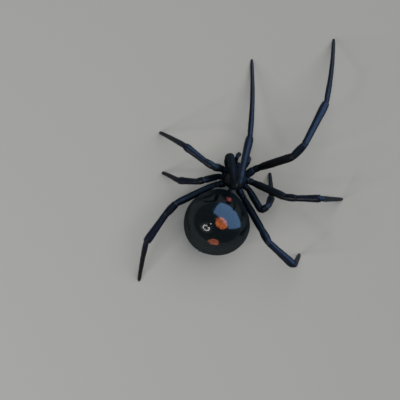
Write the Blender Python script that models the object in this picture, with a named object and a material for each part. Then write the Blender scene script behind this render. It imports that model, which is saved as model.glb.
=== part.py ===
"""Black widow spider, adult female, as a still model at life size.

She stands on the floor, z = 0, with her head towards -Y, so that her own right side is -X.
The left foreleg is drawn up over the back, with its knee above the rear of the carapace,
and reaches forward past the head. Constants are in millimetres and degrees, meshes in metres.
Her own coordinates are forward, right and up, counted from the waist and from the floor.
"""
import math

import bmesh
import bpy
from mathutils import Matrix, Vector

MM = 0.001
GAP = 0.3              # air between pieces that meet
HALF_GAP = GAP / 2

# Carapace, seen from above: a broad thorax blended into a narrow head.
BODY_REAR, BODY_FRONT = 0.15, 3.42
THORAX_CENTRE, THORAX_LENGTH, THORAX_WIDTH = 1.38, 2.60, 2.80
HEAD_CENTRE, HEAD_LENGTH, HEAD_WIDTH = 2.35, 2.20, 1.42
OUTLINE_BLEND, DOME_BLEND = 0.16, 0.30
# Heights: the rim of the shield, its domes and the breastplate below.
RIM_HEIGHT = 2.86
THORAX_DOME, HEAD_DOME = 0.66, 1.00
BREAST_HEIGHT, CHIN_HEIGHT = 1.78, 2.18
BODY_RINGS, DOME_STEPS = 17, 12
# The pit on the back, where the sucking stomach's muscles hold.
PIT_FORWARD, PIT_DEPTH, PIT_SIZE = 1.20, 0.14, 0.34
# Underside of one ring, from the rim inwards: share of the half width, share of the depth.
UNDERSIDE = ((0.97, 0.12), (0.86, 0.36), (0.71, 0.64), (0.51, 0.87), (0.27, 0.97))

# Eight eyes in two rows on the brow: forward, sideways, up, radius.
EYES = ((3.30, 0.13, 3.50, 0.10), (3.18, 0.40, 3.42, 0.09),
        (3.02, 0.16, 3.80, 0.09), (2.96, 0.47, 3.62, 0.09))
EYE_RINGS, EYE_SIDES = 4, 8

# Abdomen: an egg that hangs from the line between the waist and the spinnerets.
ABDOMEN_CENTRE, ABDOMEN_SIDE = -4.26, -0.05
ABDOMEN_HALF_LENGTH, ABDOMEN_HALF_WIDTH = 4.03, 3.97
ABDOMEN_SHOULDER = 0.17     # share of the width that it is drawn in by towards the waist
ABDOMEN_AXIS_HEIGHT, ABDOMEN_TOP, ABDOMEN_BOTTOM = 3.40, 9.05, 0.95
ABDOMEN_ROLL = 8.0
ABDOMEN_RINGS, ABDOMEN_SIDES = 20, 28
WAIST_RADIUS, WAIST_HEIGHT = 0.30, 2.74
WAIST_RINGS = (0.40, -0.20, -0.80)     # forward, from inside the carapace to inside the abdomen

# Spinnerets: three pairs round a small cone, on the underside near the rear.
SPINNERET_ANGLE, SPINNERET_LEAN = 148.0, 38.0
SPINNERETS = ((0.26, 0.22, 0.80, 0.17), (-0.24, 0.20, 0.72, 0.15), (0.02, 0.13, 0.55, 0.10))
SPINNERET_MOUND_RADIUS, SPINNERET_MOUND_LENGTH = 0.52, 0.30
SPINNERET_SINK = 0.35

# Legs: length of coxa, trochanter, femur, patella, tibia, and metatarsus with tarsus.
LEG_LENGTHS = {1: (1.45, 0.75, 6.3, 2.0, 6.05, 10.4), 2: (0.95, 0.45, 4.8, 1.45, 3.1, 7.3),
               3: (0.85, 0.40, 3.65, 1.2, 2.8, 4.1), 4: (0.95, 0.45, 5.5, 1.85, 4.1, 6.5)}
LEG_ROOTS = {1: (2.10, 0.95), 2: (1.75, 0.85), 3: (1.17, 0.85), 4: (0.45, 0.78)}
LEG_ROOT_HEIGHT = 2.25
LEG_RADIUS = {1: 0.50, 2: 0.47, 3: 0.42, 4: 0.44}
SHIN_SWELL = {1: 1.0, 2: 1.0, 3: 1.06, 4: 1.15}     # of patella, tibia and foot beyond that radius
LEG_SIDES = 12
# Share of the leg's radius at shares of each joint's length.
COXA_PROFILE = ((0.0, 0.55), (0.12, 0.84), (0.45, 0.95), (0.82, 0.94), (1.0, 0.82))
TROCHANTER_PROFILE = ((0.0, 0.82), (0.50, 0.85), (1.0, 0.76))
FEMUR_PROFILE = ((0.0, 0.76), (0.12, 0.90), (0.32, 0.97), (0.66, 0.98), (0.90, 0.96), (1.0, 0.84))
PATELLA_PROFILE = ((0.0, 0.84), (0.50, 0.95), (1.0, 0.80))
TIBIA_PROFILE = ((0.0, 0.80), (0.25, 0.81), (0.60, 0.90), (0.88, 0.96), (1.0, 0.82))
FOOT_PROFILE = ((0.0, 0.56), (0.09, 0.60), (0.38, 0.53), (0.70, 0.46), (0.83, 0.41),
                (0.95, 0.33), (1.0, 0.20))
BEND_RADIUS = 1.15     # of the centre line at a joint, as a share of the leg's own radius there
BEND_STEP = 28.0       # degrees of a bend between one ring and the next
FOOT_SINK = 0.03       # depth to which a foot's tip would reach below the floor that trims it flat

# The stance: heading clockwise from straight ahead and rise above the level, of each joint
# from coxa to tibia. The foot has a heading only, since it comes down to the floor.
STANCE = {
    ("left", 1): ((-33, 8), (10, 25), (151, 44), (-4, 3), (-8, -38), -20),
    ("left", 2): ((-80, 6), (-84, 35), (-114, 82), (-81, -11), (-74, -15), -81),
    ("left", 3): ((-101, 6), (-108, 28), (-128, 63), (-124, -35), (-108, -38), -85),
    ("left", 4): ((-115, 0), (-122, 5), (-138, 22), (-158, -3), (-167, -2), 170),
    ("right", 1): ((33, 6), (46, 20), (51, 52), (22, 11), (6, -18), -12),
    ("right", 2): ((86, 4), (92, 15), (93, 30), (74, 26), (69, 21), 69),
    ("right", 3): ((104, 6), (108, 22), (129, 36), (32, 33), (4, -67), -23),
    ("right", 4): ((126, 0), (132, 6), (129, 37), (131, 34), (110, -5), 22),
}

# Jaws and palps: forward, sideways, up and radius along each centre line.
JAW_LINE = ((2.80, 0.31, 2.90, 0.19), (3.08, 0.32, 2.40, 0.20), (3.22, 0.32, 1.95, 0.20),
            (3.28, 0.30, 1.55, 0.17), (3.27, 0.28, 1.38, 0.10))
FANG_LINE = ((3.32, 0.32, 1.55, 0.08), (3.34, 0.24, 1.32, 0.07), (3.28, 0.12, 1.22, 0.03))
PALP_LINE = ((2.80, 0.46, 2.35, 0.19), (3.10, 0.61, 2.46, 0.20), (3.50, 0.70, 2.66, 0.22),
             (3.90, 0.74, 2.84, 0.22), (4.18, 0.73, 2.68, 0.24), (4.32, 0.70, 2.28, 0.23),
             (4.38, 0.63, 1.85, 0.24), (4.36, 0.54, 1.40, 0.20), (4.28, 0.44, 1.08, 0.09))
JAW_SIDES, FANG_SIDES, PALP_SIDES = 12, 6, 10

BLACK = (0.010, 0.010, 0.012)
NAVY_BLACK = (0.014, 0.015, 0.024)
DARK_BROWN = (0.040, 0.027, 0.020)
JAW_BROWN = (0.022, 0.015, 0.013)
SHARP_EDGE = 50.0      # degrees between two faces from which their edge is shaded sharp


def place(forward, right, up):
    """A point of the spider's own frame, in the model's metres."""
    return Vector((-right, -forward, up)) * MM


def heading(degrees, rise):
    """Unit vector that points degrees clockwise from straight ahead, rise degrees above the level."""
    turn, lift = math.radians(degrees), math.radians(rise)
    level = math.cos(lift)
    return Vector((-math.sin(turn) * level, -math.cos(turn) * level, math.sin(lift)))


def loft(rings, start_pole=None, end_pole=None):
    """Closed surface through rings of points, ended by a pole or by a flat face."""
    mesh = bmesh.new()
    loops = [[mesh.verts.new(point) for point in ring] for ring in rings]
    count = len(rings[0])
    for lower, upper in zip(loops, loops[1:]):
        for i in range(count):
            j = (i + 1) % count
            mesh.faces.new((lower[i], lower[j], upper[j], upper[i]))
    for loop, pole in ((loops[0], start_pole), (loops[-1], end_pole)):
        if pole is None:
            mesh.faces.new(loop)
            continue
        tip = mesh.verts.new(pole)
        for i in range(count):
            mesh.faces.new((loop[i], loop[(i + 1) % count], tip))
    bmesh.ops.recalc_face_normals(mesh, faces=mesh.faces)
    return mesh


def tube(stations, sides):
    """Round tube through stations of centre, direction and radius, all in metres, without twist."""
    rings = []
    side = stations[0][1].orthogonal().normalized()
    last = stations[0][1]
    for centre, direction, radius in stations:
        side = last.rotation_difference(direction) @ side
        side = (side - direction * side.dot(direction)).normalized()
        across = direction.cross(side)
        last = direction
        angles = [2 * math.pi * i / sides for i in range(sides)]
        rings.append([centre + (side * math.cos(a) + across * math.sin(a)) * radius for a in angles])
    return loft(rings)


def tube_along(line, sign, sides):
    """Tube through points of forward, sideways, up and radius, on the side that sign gives."""
    centres = [place(forward, sign * across, up) for forward, across, up, _ in line]
    stations = []
    for i, centre in enumerate(centres):
        ahead = centres[min(i + 1, len(centres) - 1)]
        behind = centres[max(i - 1, 0)]
        stations.append((centre, (ahead - behind).normalized(), line[i][3] * MM))
    return tube(stations, sides)


def ball(centre, radius, rings, sides):
    """Closed ball of few faces."""
    loops = []
    for k in range(1, rings):
        polar = math.pi * k / rings
        level, spread = radius * math.cos(polar), radius * math.sin(polar)
        angles = [2 * math.pi * i / sides for i in range(sides)]
        loops.append([centre + Vector((spread * math.cos(a), spread * math.sin(a), level)) for a in angles])
    up = Vector((0, 0, radius))
    return loft(loops, centre + up, centre - up)


def add_object(name, mesh):
    """Turns a bmesh into an object of the scene."""
    data = bpy.data.meshes.new(name)
    mesh.to_mesh(data)
    mesh.free()
    piece = bpy.data.objects.new(name, data)
    bpy.context.scene.collection.objects.link(piece)
    return piece


def keep_largest(piece):
    """Deletes all but the largest closed surface of a piece."""
    mesh = bmesh.new()
    mesh.from_mesh(piece.data)
    left = set(mesh.faces)
    shells = []
    while left:
        shell, edge = set(), [left.pop()]
        while edge:
            face = edge.pop()
            shell.add(face)
            near = {other for side in face.edges for other in side.link_faces}
            edge.extend(near & left)
            left -= near
        shells.append(shell)
    shells.sort(key=lambda shell: sum(face.calc_area() for face in shell))
    scraps = [face for shell in shells[:-1] for face in shell]
    bmesh.ops.delete(mesh, geom=scraps, context="FACES")
    mesh.to_mesh(piece.data)
    mesh.free()


def combine(piece, others, operation):
    """Joins other closed pieces to a piece, or cuts it with them, and removes them."""
    group = bpy.data.collections.new(piece.name + "_tools")
    for other in others:
        group.objects.link(other)
    modifier = piece.modifiers.new(operation.lower(), "BOOLEAN")
    modifier.operation = operation
    modifier.operand_type = "COLLECTION"
    modifier.collection = group
    modifier.solver = "EXACT"
    evaluated = piece.evaluated_get(bpy.context.evaluated_depsgraph_get())
    result = bpy.data.meshes.new_from_object(evaluated)
    piece.modifiers.remove(modifier)
    piece.data = result
    for other in others:
        bpy.data.objects.remove(other)
    bpy.data.collections.remove(group)
    keep_largest(piece)


def swollen(piece, distance):
    """A piece's mesh with its surface moved out, to cut a gap with."""
    mesh = bmesh.new()
    mesh.from_mesh(piece.data)
    mesh.normal_update()
    offsets = [(vertex, vertex.normal * vertex.calc_shell_factor()) for vertex in mesh.verts]
    for vertex, offset in offsets:
        vertex.co += offset * distance * MM
    return mesh


def cut_clear(piece, clearances):
    """Cuts a piece back from the swollen body and hips, so that it faces them across the gap."""
    combine(piece, [add_object("clearance", mesh.copy()) for mesh in clearances], "DIFFERENCE")


def trim(mesh, point, normal):
    """Cuts away what lies behind a plane, and closes the cut with a flat face."""
    geometry = mesh.verts[:] + mesh.edges[:] + mesh.faces[:]
    cut = bmesh.ops.bisect_plane(mesh, geom=geometry, plane_co=point, plane_no=normal, clear_inner=True)
    rim = [item for item in cut["geom_cut"] if isinstance(item, bmesh.types.BMEdge)]
    bmesh.ops.holes_fill(mesh, edges=rim, sides=0)
    bmesh.ops.recalc_face_normals(mesh, faces=mesh.faces)


def finish(piece, root, colour, roughness):
    """Gives a node its own material, smooth shading and its parent."""
    material = bpy.data.materials.new(piece.name + "_finish")
    material.use_nodes = True
    shader = material.node_tree.nodes["Principled BSDF"]
    shader.inputs["Base Color"].default_value = (*colour, 1.0)
    shader.inputs["Roughness"].default_value = roughness
    shader.inputs["Metallic"].default_value = 0.0
    piece.data.materials.clear()
    piece.data.materials.append(material)
    piece.data.shade_smooth()
    piece.data.set_sharp_from_angle(angle=math.radians(SHARP_EDGE))
    piece.parent = root


def ellipse(position, centre, length):
    """Height of an ellipse of half height 1 above its long axis, 0 outside it."""
    share = (position - centre) / (length / 2)
    return math.sqrt(max(0.0, 1.0 - share * share))


def blend(a, b, softness):
    """The larger of two values, with a rounded passage between them."""
    return (a + b + math.sqrt((a - b) ** 2 + softness ** 2)) / 2


def body_ring(position):
    """Points round the cephalothorax at one forward position."""
    thorax = ellipse(position, THORAX_CENTRE, THORAX_LENGTH)
    head = ellipse(position, HEAD_CENTRE, HEAD_LENGTH)
    fade = min(1.0, 4 * min(thorax + head, 1.0) ** 2)
    half_width = blend(thorax * THORAX_WIDTH / 2, head * HEAD_WIDTH / 2, OUTLINE_BLEND * fade)
    dome = blend(thorax * THORAX_DOME, head * HEAD_DOME, DOME_BLEND * fade)
    share = (position - BODY_REAR) / (BODY_FRONT - BODY_REAR)
    low = BREAST_HEIGHT + (CHIN_HEIGHT - BREAST_HEIGHT) * share ** 2
    depth = (RIM_HEIGHT - low) * max(thorax, head) ** 0.6
    pit = PIT_DEPTH * math.exp(-((position - PIT_FORWARD) / PIT_SIZE) ** 2)
    ring = []
    for k in range(DOME_STEPS + 1):
        angle = math.pi * k / DOME_STEPS
        across = half_width * math.cos(angle)
        dip = pit * math.exp(-(across / PIT_SIZE) ** 2)
        ring.append(place(position, across, RIM_HEIGHT + dome * math.sin(angle) ** 0.85 - dip))
    under = [(-share_across, share_down) for share_across, share_down in UNDERSIDE]
    under += [(0.0, 1.0)] + [(-across, down) for across, down in reversed(under)]
    for across, down in under:
        ring.append(place(position, half_width * across, RIM_HEIGHT - depth * down))
    return ring


def make_carapace():
    """Shield and breastplate of the cephalothorax, which the hips and eyes are joined to."""
    middle, half = (BODY_REAR + BODY_FRONT) / 2, (BODY_FRONT - BODY_REAR) / 2
    rings = []
    for k in range(BODY_RINGS):
        turn = math.pi * (k + 0.5) / BODY_RINGS
        rings.append(body_ring(middle - half * math.cos(turn)))
    return add_object("cephalothorax", loft(rings))


def make_eyes():
    """Eight closed balls, sunk in the brow."""
    eyes = []
    for forward, across, up, radius in EYES:
        for sign in (-1, 1):
            centre = place(forward, sign * across, up)
            eyes.append(add_object("eye", ball(centre, radius * MM, EYE_RINGS, EYE_SIDES)))
    return eyes


def abdomen_point(angle, around):
    """Point of the abdomen: angle along it from the waist, around it from her right, in radians."""
    up_reach = ABDOMEN_TOP - ABDOMEN_AXIS_HEIGHT
    down_reach = ABDOMEN_AXIS_HEIGHT - ABDOMEN_BOTTOM
    lift, half_height = (up_reach - down_reach) / 2, (up_reach + down_reach) / 2
    forward = ABDOMEN_CENTRE + ABDOMEN_HALF_LENGTH * math.cos(angle)
    shoulder = 1 - ABDOMEN_SHOULDER * max(0.0, math.cos(angle)) ** 2
    right = ABDOMEN_HALF_WIDTH * math.sin(angle) * shoulder * math.cos(around)
    up = math.sin(angle) * (lift + half_height * math.sin(around))
    roll = math.radians(ABDOMEN_ROLL)
    turned_right = right * math.cos(roll) + (up - lift) * math.sin(roll)
    turned_up = (up - lift) * math.cos(roll) - right * math.sin(roll)
    return place(forward, ABDOMEN_SIDE + turned_right, ABDOMEN_AXIS_HEIGHT + lift + turned_up)


def make_spinnerets():
    """Three pairs of cones on a low mound, as separate closed pieces."""
    angle = math.radians(SPINNERET_ANGLE)
    base = abdomen_point(angle, -math.pi / 2)
    axis = heading(180, -90 + SPINNERET_LEAN)
    right = Vector((-1, 0, 0))
    back = right.cross(axis).normalized()
    start = base - axis * SPINNERET_SINK * MM
    length = (SPINNERET_MOUND_LENGTH + SPINNERET_SINK) * MM
    mound = tube([(start, axis, SPINNERET_MOUND_RADIUS * MM),
                  (start + axis * length, axis, SPINNERET_MOUND_RADIUS * 0.8 * MM)], 12)
    pieces = [add_object("mound", mound)]
    for along, across, reach, radius in SPINNERETS:
        for sign in (-1, 1):
            foot = start + (back * along + right * sign * across) * MM
            lean = (axis + right * sign * 0.10 + back * along * 0.4).normalized()
            tip = foot + lean * (reach + SPINNERET_SINK) * MM
            middle = foot.lerp(tip, 0.6)
            widths = ((foot, radius), (middle, radius), (tip, radius * 0.45))
            stations = [(centre, lean, width * MM) for centre, width in widths]
            pieces.append(add_object("spinneret", tube(stations, 8)))
    return pieces


def make_abdomen():
    """Abdomen with the narrow waist in front and the spinnerets behind, as one closed body."""
    around = [2 * math.pi * i / ABDOMEN_SIDES for i in range(ABDOMEN_SIDES)]
    rings = []
    for forward in WAIST_RINGS:
        rings.append([place(forward, WAIST_RADIUS * math.cos(a), WAIST_HEIGHT + WAIST_RADIUS * math.sin(a))
                      for a in around])
    waist = add_object("waist", loft(rings))
    rings = []
    for k in range(1, ABDOMEN_RINGS):
        angle = math.pi * k / ABDOMEN_RINGS
        rings.append([abdomen_point(angle, a) for a in around])
    piece = add_object("abdomen", loft(rings, abdomen_point(0, 0), abdomen_point(math.pi, 0)))
    combine(piece, [waist] + make_spinnerets(), "UNION")
    return piece


class Corner:
    """A rounded bend of a leg's centre line, with the plane that parts two pieces at its middle."""

    def __init__(self, point, before, after, radius):
        bend = before.angle(after)
        inward = (after - before).normalized()
        self.before, self.after = before, after
        self.steps = max(1, math.ceil(math.degrees(bend) / 2 / BEND_STEP))
        self.reach = radius * math.tan(bend / 2)
        self.centre = point + inward * (radius / math.cos(bend / 2))
        self.entry = point - before * self.reach - self.centre
        self.middle = self.centre - inward * radius
        self.middle_direction = (before + after).normalized()

    def stations(self, first, last, radius):
        """Stations on the bend: 0 is its start, 1 its middle and 2 its end."""
        turn = self.before.rotation_difference(self.after)
        count = self.steps * (last - first)
        found = []
        for k in range(count + 1):
            share = (first + (last - first) * k / count) / 2
            part = Matrix.Rotation(turn.angle * share, 3, turn.axis)
            found.append((self.centre + part @ self.entry, part @ self.before, radius))
        return found

    def trim(self, mesh, sign):
        """Cuts a piece flat at half the gap from the parting plane, on the side that sign gives."""
        normal = self.middle_direction * sign
        trim(mesh, self.middle + normal * HALF_GAP * MM, normal)


def straight_stations(start, direction, length, widths, skip_start, skip_end):
    """Stations at the given shares of a joint, apart from those inside the bends at its ends."""
    clear = 0.1 * MM
    first, last = (skip_start + clear) / length, 1.0 - (skip_end + clear) / length
    stations = []
    for share, width in widths:
        if first < share < last:
            stations.append((start + direction * length * share, direction, width))
    return stations


def leg_line(side, number):
    """Points, directions and lengths of a leg's joints, with the foot brought down to the floor."""
    sign = 1 if side == "right" else -1
    *angles, foot_heading = STANCE[(side, number)]
    lengths = [length * MM for length in LEG_LENGTHS[number]]
    forward, across = LEG_ROOTS[number]
    directions = [heading(*pair) for pair in angles]
    points = [place(forward, sign * across, LEG_ROOT_HEIGHT)]
    for direction, length in zip(directions, lengths):
        points.append(points[-1] + direction * length)
    drop = math.degrees(math.asin((points[-1].z + FOOT_SINK * MM) / lengths[-1]))
    directions.append(heading(foot_heading, -drop))
    points.append(points[-1] + directions[-1] * lengths[-1])
    return points, directions, lengths


def make_leg(side, number):
    """Meshes of one leg, by name, with what keeps other pieces clear of its hip."""
    points, directions, lengths = leg_line(side, number)
    thigh = LEG_RADIUS[number] * MM
    shin = thigh * SHIN_SWELL[number]
    widths = [[(share, width * thigh) for share, width in profile]
              for profile in (COXA_PROFILE, TROCHANTER_PROFILE, FEMUR_PROFILE)]
    widths += [[(share, width * shin) for share, width in profile]
               for profile in (PATELLA_PROFILE, TIBIA_PROFILE, FOOT_PROFILE)]
    corners = []
    for k, (before, after) in enumerate(zip(widths, widths[1:])):
        width = max(before[-1][1], after[0][1])
        corners.append(Corner(points[k + 1], directions[k], directions[k + 1], BEND_RADIUS * width))
    collar, hip, knee, shank, ankle = corners
    reaches = [0.0] + [corner.reach for corner in corners] + [0.0]

    def straight(k):
        return straight_stations(points[k], directions[k], lengths[k], widths[k], *reaches[k:k + 2])

    root = (points[0], directions[0], widths[0][0][1])
    tip = (points[-1], directions[-1], widths[5][-1][1])
    base = [root] + straight(0) + collar.stations(0, 2, widths[0][-1][1])
    base += straight(1) + hip.stations(0, 1, widths[1][-1][1])
    femur = hip.stations(1, 2, widths[2][0][1]) + straight(2) + knee.stations(0, 1, widths[2][-1][1])
    tibia = knee.stations(1, 2, widths[3][0][1]) + straight(3) + shank.stations(0, 2, widths[3][-1][1])
    tibia += straight(4) + ankle.stations(0, 1, widths[4][-1][1])
    foot = ankle.stations(1, 2, widths[5][0][1]) + straight(5) + [tip]

    lines = {"hip": base, "femur": femur, "tibia": tibia, "tarsus": foot}
    meshes = {name: tube(stations, LEG_SIDES) for name, stations in lines.items()}
    hip.trim(meshes["hip"], -1)
    hip.trim(meshes["femur"], 1)
    knee.trim(meshes["femur"], -1)
    knee.trim(meshes["tibia"], 1)
    ankle.trim(meshes["tibia"], -1)
    ankle.trim(meshes["tarsus"], 1)
    trim(meshes["tarsus"], Vector((0, 0, 0)), Vector((0, 0, 1)))
    clearance = tube([(centre, along, width + GAP * MM) for centre, along, width in base], LEG_SIDES)
    return meshes, clearance


def make_jaw(side, sign):
    """One chelicera with its fang, as one closed body."""
    jaw = add_object(f"chelicera_{side}", tube_along(JAW_LINE, sign, JAW_SIDES))
    combine(jaw, [add_object("fang", tube_along(FANG_LINE, sign, FANG_SIDES))], "UNION")
    return jaw


def main():
    for old in list(bpy.data.objects):
        bpy.data.objects.remove(old)
    root = bpy.data.objects.new("spider", None)
    bpy.context.scene.collection.objects.link(root)

    body, abdomen = make_carapace(), make_abdomen()
    growths, clearances = make_eyes(), [swollen(body, GAP)]
    pieces = [body, abdomen]
    for side in ("left", "right"):
        for number in LEG_LENGTHS:
            meshes, clearance = make_leg(side, number)
            growths.append(add_object("hip", meshes.pop("hip")))
            clearances.append(clearance)
            leg = {name: add_object(f"leg_{side}_{number}_{name}", mesh) for name, mesh in meshes.items()}
            finish(leg["femur"], root, BLACK, 0.22)
            finish(leg["tibia"], root, NAVY_BLACK, 0.25)
            finish(leg["tarsus"], root, DARK_BROWN, 0.38)
            pieces += leg.values()
    combine(body, growths, "UNION")
    cut_clear(abdomen, clearances)
    finish(body, root, BLACK, 0.22)
    finish(abdomen, root, BLACK, 0.10)

    for side, sign in (("left", -1), ("right", 1)):
        jaw = make_jaw(side, sign)
        palp = add_object(f"palp_{side}", tube_along(PALP_LINE, sign, PALP_SIDES))
        for piece, colour in ((jaw, JAW_BROWN), (palp, NAVY_BLACK)):
            cut_clear(piece, clearances)
            finish(piece, root, colour, 0.30)
            pieces.append(piece)

    corners = [piece.matrix_world @ vertex.co for piece in pieces for vertex in piece.data.vertices]
    for axis in range(2):
        low = min(corner[axis] for corner in corners)
        high = max(corner[axis] for corner in corners)
        root.location[axis] = -(low + high) / 2


main()
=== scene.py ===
# %% [markdown]
# # Black widow spider, a still model at life size
#
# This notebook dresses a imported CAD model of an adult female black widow. The solids say
# where every joint of her is, and their boxes give the one number that is needed to lay a
# finer body over them. Each step has a few words on the real animal first, then on how the
# piece could be made in Blender, and why it is made this way here.

# %% Load the frame
import math

import bpy
import numpy as np
from mathutils import Matrix, Vector
from mathutils.bvhtree import BVHTree


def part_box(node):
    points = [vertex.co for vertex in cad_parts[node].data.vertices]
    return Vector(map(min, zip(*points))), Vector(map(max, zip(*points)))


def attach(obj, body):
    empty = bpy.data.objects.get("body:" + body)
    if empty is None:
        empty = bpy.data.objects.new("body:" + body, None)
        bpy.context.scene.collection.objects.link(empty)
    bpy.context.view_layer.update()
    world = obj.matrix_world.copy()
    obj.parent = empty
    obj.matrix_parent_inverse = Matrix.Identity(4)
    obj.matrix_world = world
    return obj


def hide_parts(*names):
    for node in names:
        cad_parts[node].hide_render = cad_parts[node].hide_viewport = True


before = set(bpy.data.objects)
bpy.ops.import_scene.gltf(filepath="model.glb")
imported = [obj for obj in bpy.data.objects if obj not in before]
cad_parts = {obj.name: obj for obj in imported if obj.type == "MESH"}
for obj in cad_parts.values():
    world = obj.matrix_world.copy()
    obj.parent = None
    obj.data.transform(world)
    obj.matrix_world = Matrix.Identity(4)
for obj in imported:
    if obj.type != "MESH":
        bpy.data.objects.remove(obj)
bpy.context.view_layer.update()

# %% [markdown]
# ## Her own coordinates
#
# A spider is easiest to describe as forward, right and up from her waist, in millimetres.
# The model's file has her head towards -Y and her right side towards -X, in metres, with
# the middle of the whole stance at the origin. The jaws stand evenly on both sides of her
# middle, and their fronts are 3.447 mm before the waist, so their boxes place the waist.

# %% Place the waist
MM = 0.001
JAW_FRONT = 3.447
left_jaw, right_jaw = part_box("chelicera_left"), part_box("chelicera_right")
waist_x = (left_jaw[1].x + right_jaw[0].x) / 2
waist_y = left_jaw[0].y + JAW_FRONT * MM


def to_model(points):
    """Turns rows of forward, right and up in millimetres into the model's metres."""
    forward, right, up = np.moveaxis(np.asarray(points, float), -1, 0)
    return np.stack([waist_x - right * MM, waist_y - forward * MM, up * MM], axis=-1)


print("waist in mm:", np.round(to_model((0, 0, 0)) * 1000, 3))

# %% [markdown]
# ## Camera
#
# The photographer looked straight down on her. A real lens some way off is a perspective
# camera with a long focal length. It hangs above a spot beside her, turned so that her head
# points up and to the right of the frame, as she stands in the picture.

# %% Hang the camera over her
CAMERA_HEIGHT = 180.0     # mm above the floor
CAMERA_OVER = (-2.553, -2.955, CAMERA_HEIGHT)
FRAME_TURN = 22.0         # degrees from her forward line to the frame's upright


def add_object(name, data):
    """An object of the scene with this mesh, lamp or camera."""
    thing = bpy.data.objects.new(name, data)
    bpy.context.scene.collection.objects.link(thing)
    return thing


camera_data = bpy.data.cameras.new("camera")
camera_data.lens = 132
camera_data.sensor_width = 36
camera_data.clip_start, camera_data.clip_end = 0.001, 10
camera = add_object("camera", camera_data)
camera.location = to_model(CAMERA_OVER)
camera.rotation_euler = (0, 0, math.radians(180 + FRAME_TURN))
bpy.context.scene.camera = camera
print("camera in mm:", [round(1000 * c, 1) for c in camera.location])

# %% [markdown]
# ## Closed shells
#
# Every part of a spider is a closed capsule of cuticle. Each capsule could be sculpted, or
# grown with a Skin modifier, but a loft says exactly how wide it is at each place: a row of
# rings, each with the same number of points, closed at both ends by a pole. The helper
# below turns such rings into a mesh and checks, by its volume, that its faces look outwards.
# Numbers that later steps need ride on the points: how brown a place is, how soft, how
# thickly and how long its bristles grow, and which way they lie.

# %% Helper: a closed shell from rings
shells = []
REGIONS = ("left_legs", "right_legs", "abdomen", "front")
FINISHES = ("abdomen_cuticle", "carapace_cuticle", "leg_cuticle", "jaw_cuticle")
MARKS = {"tone": 0.0, "soft": 0.0, "coat": 0.0, "pile": 1.0}
TILES = 4                 # capsules a side in the square map that one coat shares out
TILE_EDGE = 0.04          # share of a tile that is left free along each side
finishes = {name: bpy.data.materials.new(name) for name in FINISHES}


def write_layer(data, key, values):
    """Numbers, or arrows with three numbers each, as an attribute of the points."""
    values = np.asarray(values, np.float32)
    kind, field = ("FLOAT_VECTOR", "vector") if values.ndim == 2 else ("FLOAT", "value")
    data.attributes.new(key, kind, "POINT").data.foreach_set(field, values.ravel())


def read_layer(data, key):
    values = np.zeros(len(data.vertices), np.float32)
    data.attributes[key].data.foreach_get("value", values)
    return values


def make_shell(name, rings, start, end, finish, region, **marks):
    """Closed mesh through rings of her own coordinates, with its marks, one number a ring or a point."""
    count, sides, _ = rings.shape
    points = to_model(np.concatenate([rings.reshape(-1, 3), [start], [end]]))
    index = np.arange(count * sides).reshape(count, sides)
    after = np.roll(index, -1, axis=1)
    quads = np.stack([index[:-1], after[:-1], after[1:], index[1:]], axis=-1).reshape(-1, 4)
    first, last = count * sides, count * sides + 1
    front = np.stack([after[0], index[0], np.full(sides, first)], axis=-1)
    back = np.stack([index[-1], after[-1], np.full(sides, last)], axis=-1)
    a, b, c, d = (points[quads[:, k]] for k in range(4))
    volume = np.einsum("ij,ij->", a, np.cross(b, c)) + np.einsum("ij,ij->", a, np.cross(c, d))
    if volume < 0:
        quads, front, back = quads[:, ::-1], front[:, ::-1], back[:, ::-1]
    data = bpy.data.meshes.new(name)
    data.from_pydata(points.tolist(), [], quads.tolist() + front.tolist() + back.tolist())
    for material in finishes.values():
        data.materials.append(material)
    data.polygons.foreach_set("material_index", np.full(len(data.polygons), FINISHES.index(finish)))
    tile = sum(shell["region"] == region for shell in shells)
    layers = {**MARKS, "made": 1.0, "region": REGIONS.index(region), **marks}
    layers["map_u"] = (np.linspace(TILE_EDGE, 1 - TILE_EDGE, count) + tile % TILES) / TILES
    over = np.tile(np.linspace(TILE_EDGE, 1 - TILE_EDGE, sides), (count, 1))
    layers["map_v"] = (over + tile // TILES) / TILES
    for key, values in layers.items():
        values = np.asarray(values, float)
        flat = np.broadcast_to(values[:, None] if values.ndim == 1 else values, (count, sides)).ravel()
        write_layer(data, key, np.concatenate([flat, [flat[0], flat[-1]]]))
    lie = unit(np.gradient(to_model(rings), axis=0))
    poles = [lie[0].mean(axis=0)], [lie[-1].mean(axis=0)]
    write_layer(data, "lie", np.concatenate([lie.reshape(-1, 3), *poles]))
    data.shade_smooth()
    shell = add_object(name, data)
    shell["region"] = region
    shells.append(shell)


# %% [markdown]
# ## Tubes along a bent line
#
# Legs, palps, jaws and spinnerets are tubes. A curve with a bevel would do, but a loft can
# set its rings close together where a joint's soft skin gets narrower within a tenth of a
# millimetre. So a ring's two side arrows are carried along the line by the smallest turn
# from one station to the next, and each ring gets its own radius.

# %% Helpers: arrows carried along a line, and rings round it


def unit(vectors):
    return vectors / np.maximum(np.linalg.norm(vectors, axis=-1, keepdims=True), 1e-12)


def rotated(vector, axis, angle):
    """A vector turned about a unit axis, in radians."""
    cosine, sine = math.cos(angle), math.sin(angle)
    return vector * cosine + np.cross(axis, vector) * sine + axis * (axis @ vector) * (1 - cosine)


def side_arrows(along):
    """For each direction of a line, the arrow to its upper side and the one across."""
    top = np.array((0.0, 0.0, 1.0))
    if abs(along[0][2]) > 0.95:
        top = np.array((1.0, 0.0, 0.0))
    tops = []
    last = along[0]
    for direction in along:
        axis = np.cross(last, direction)
        sine = np.linalg.norm(axis)
        if sine > 1e-9:
            top = rotated(top, axis / sine, math.atan2(sine, last @ direction))
        top = unit(top - direction * (top @ direction))
        tops.append(top)
        last = direction
    tops = np.array(tops)
    return tops, np.cross(along, tops)


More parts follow.
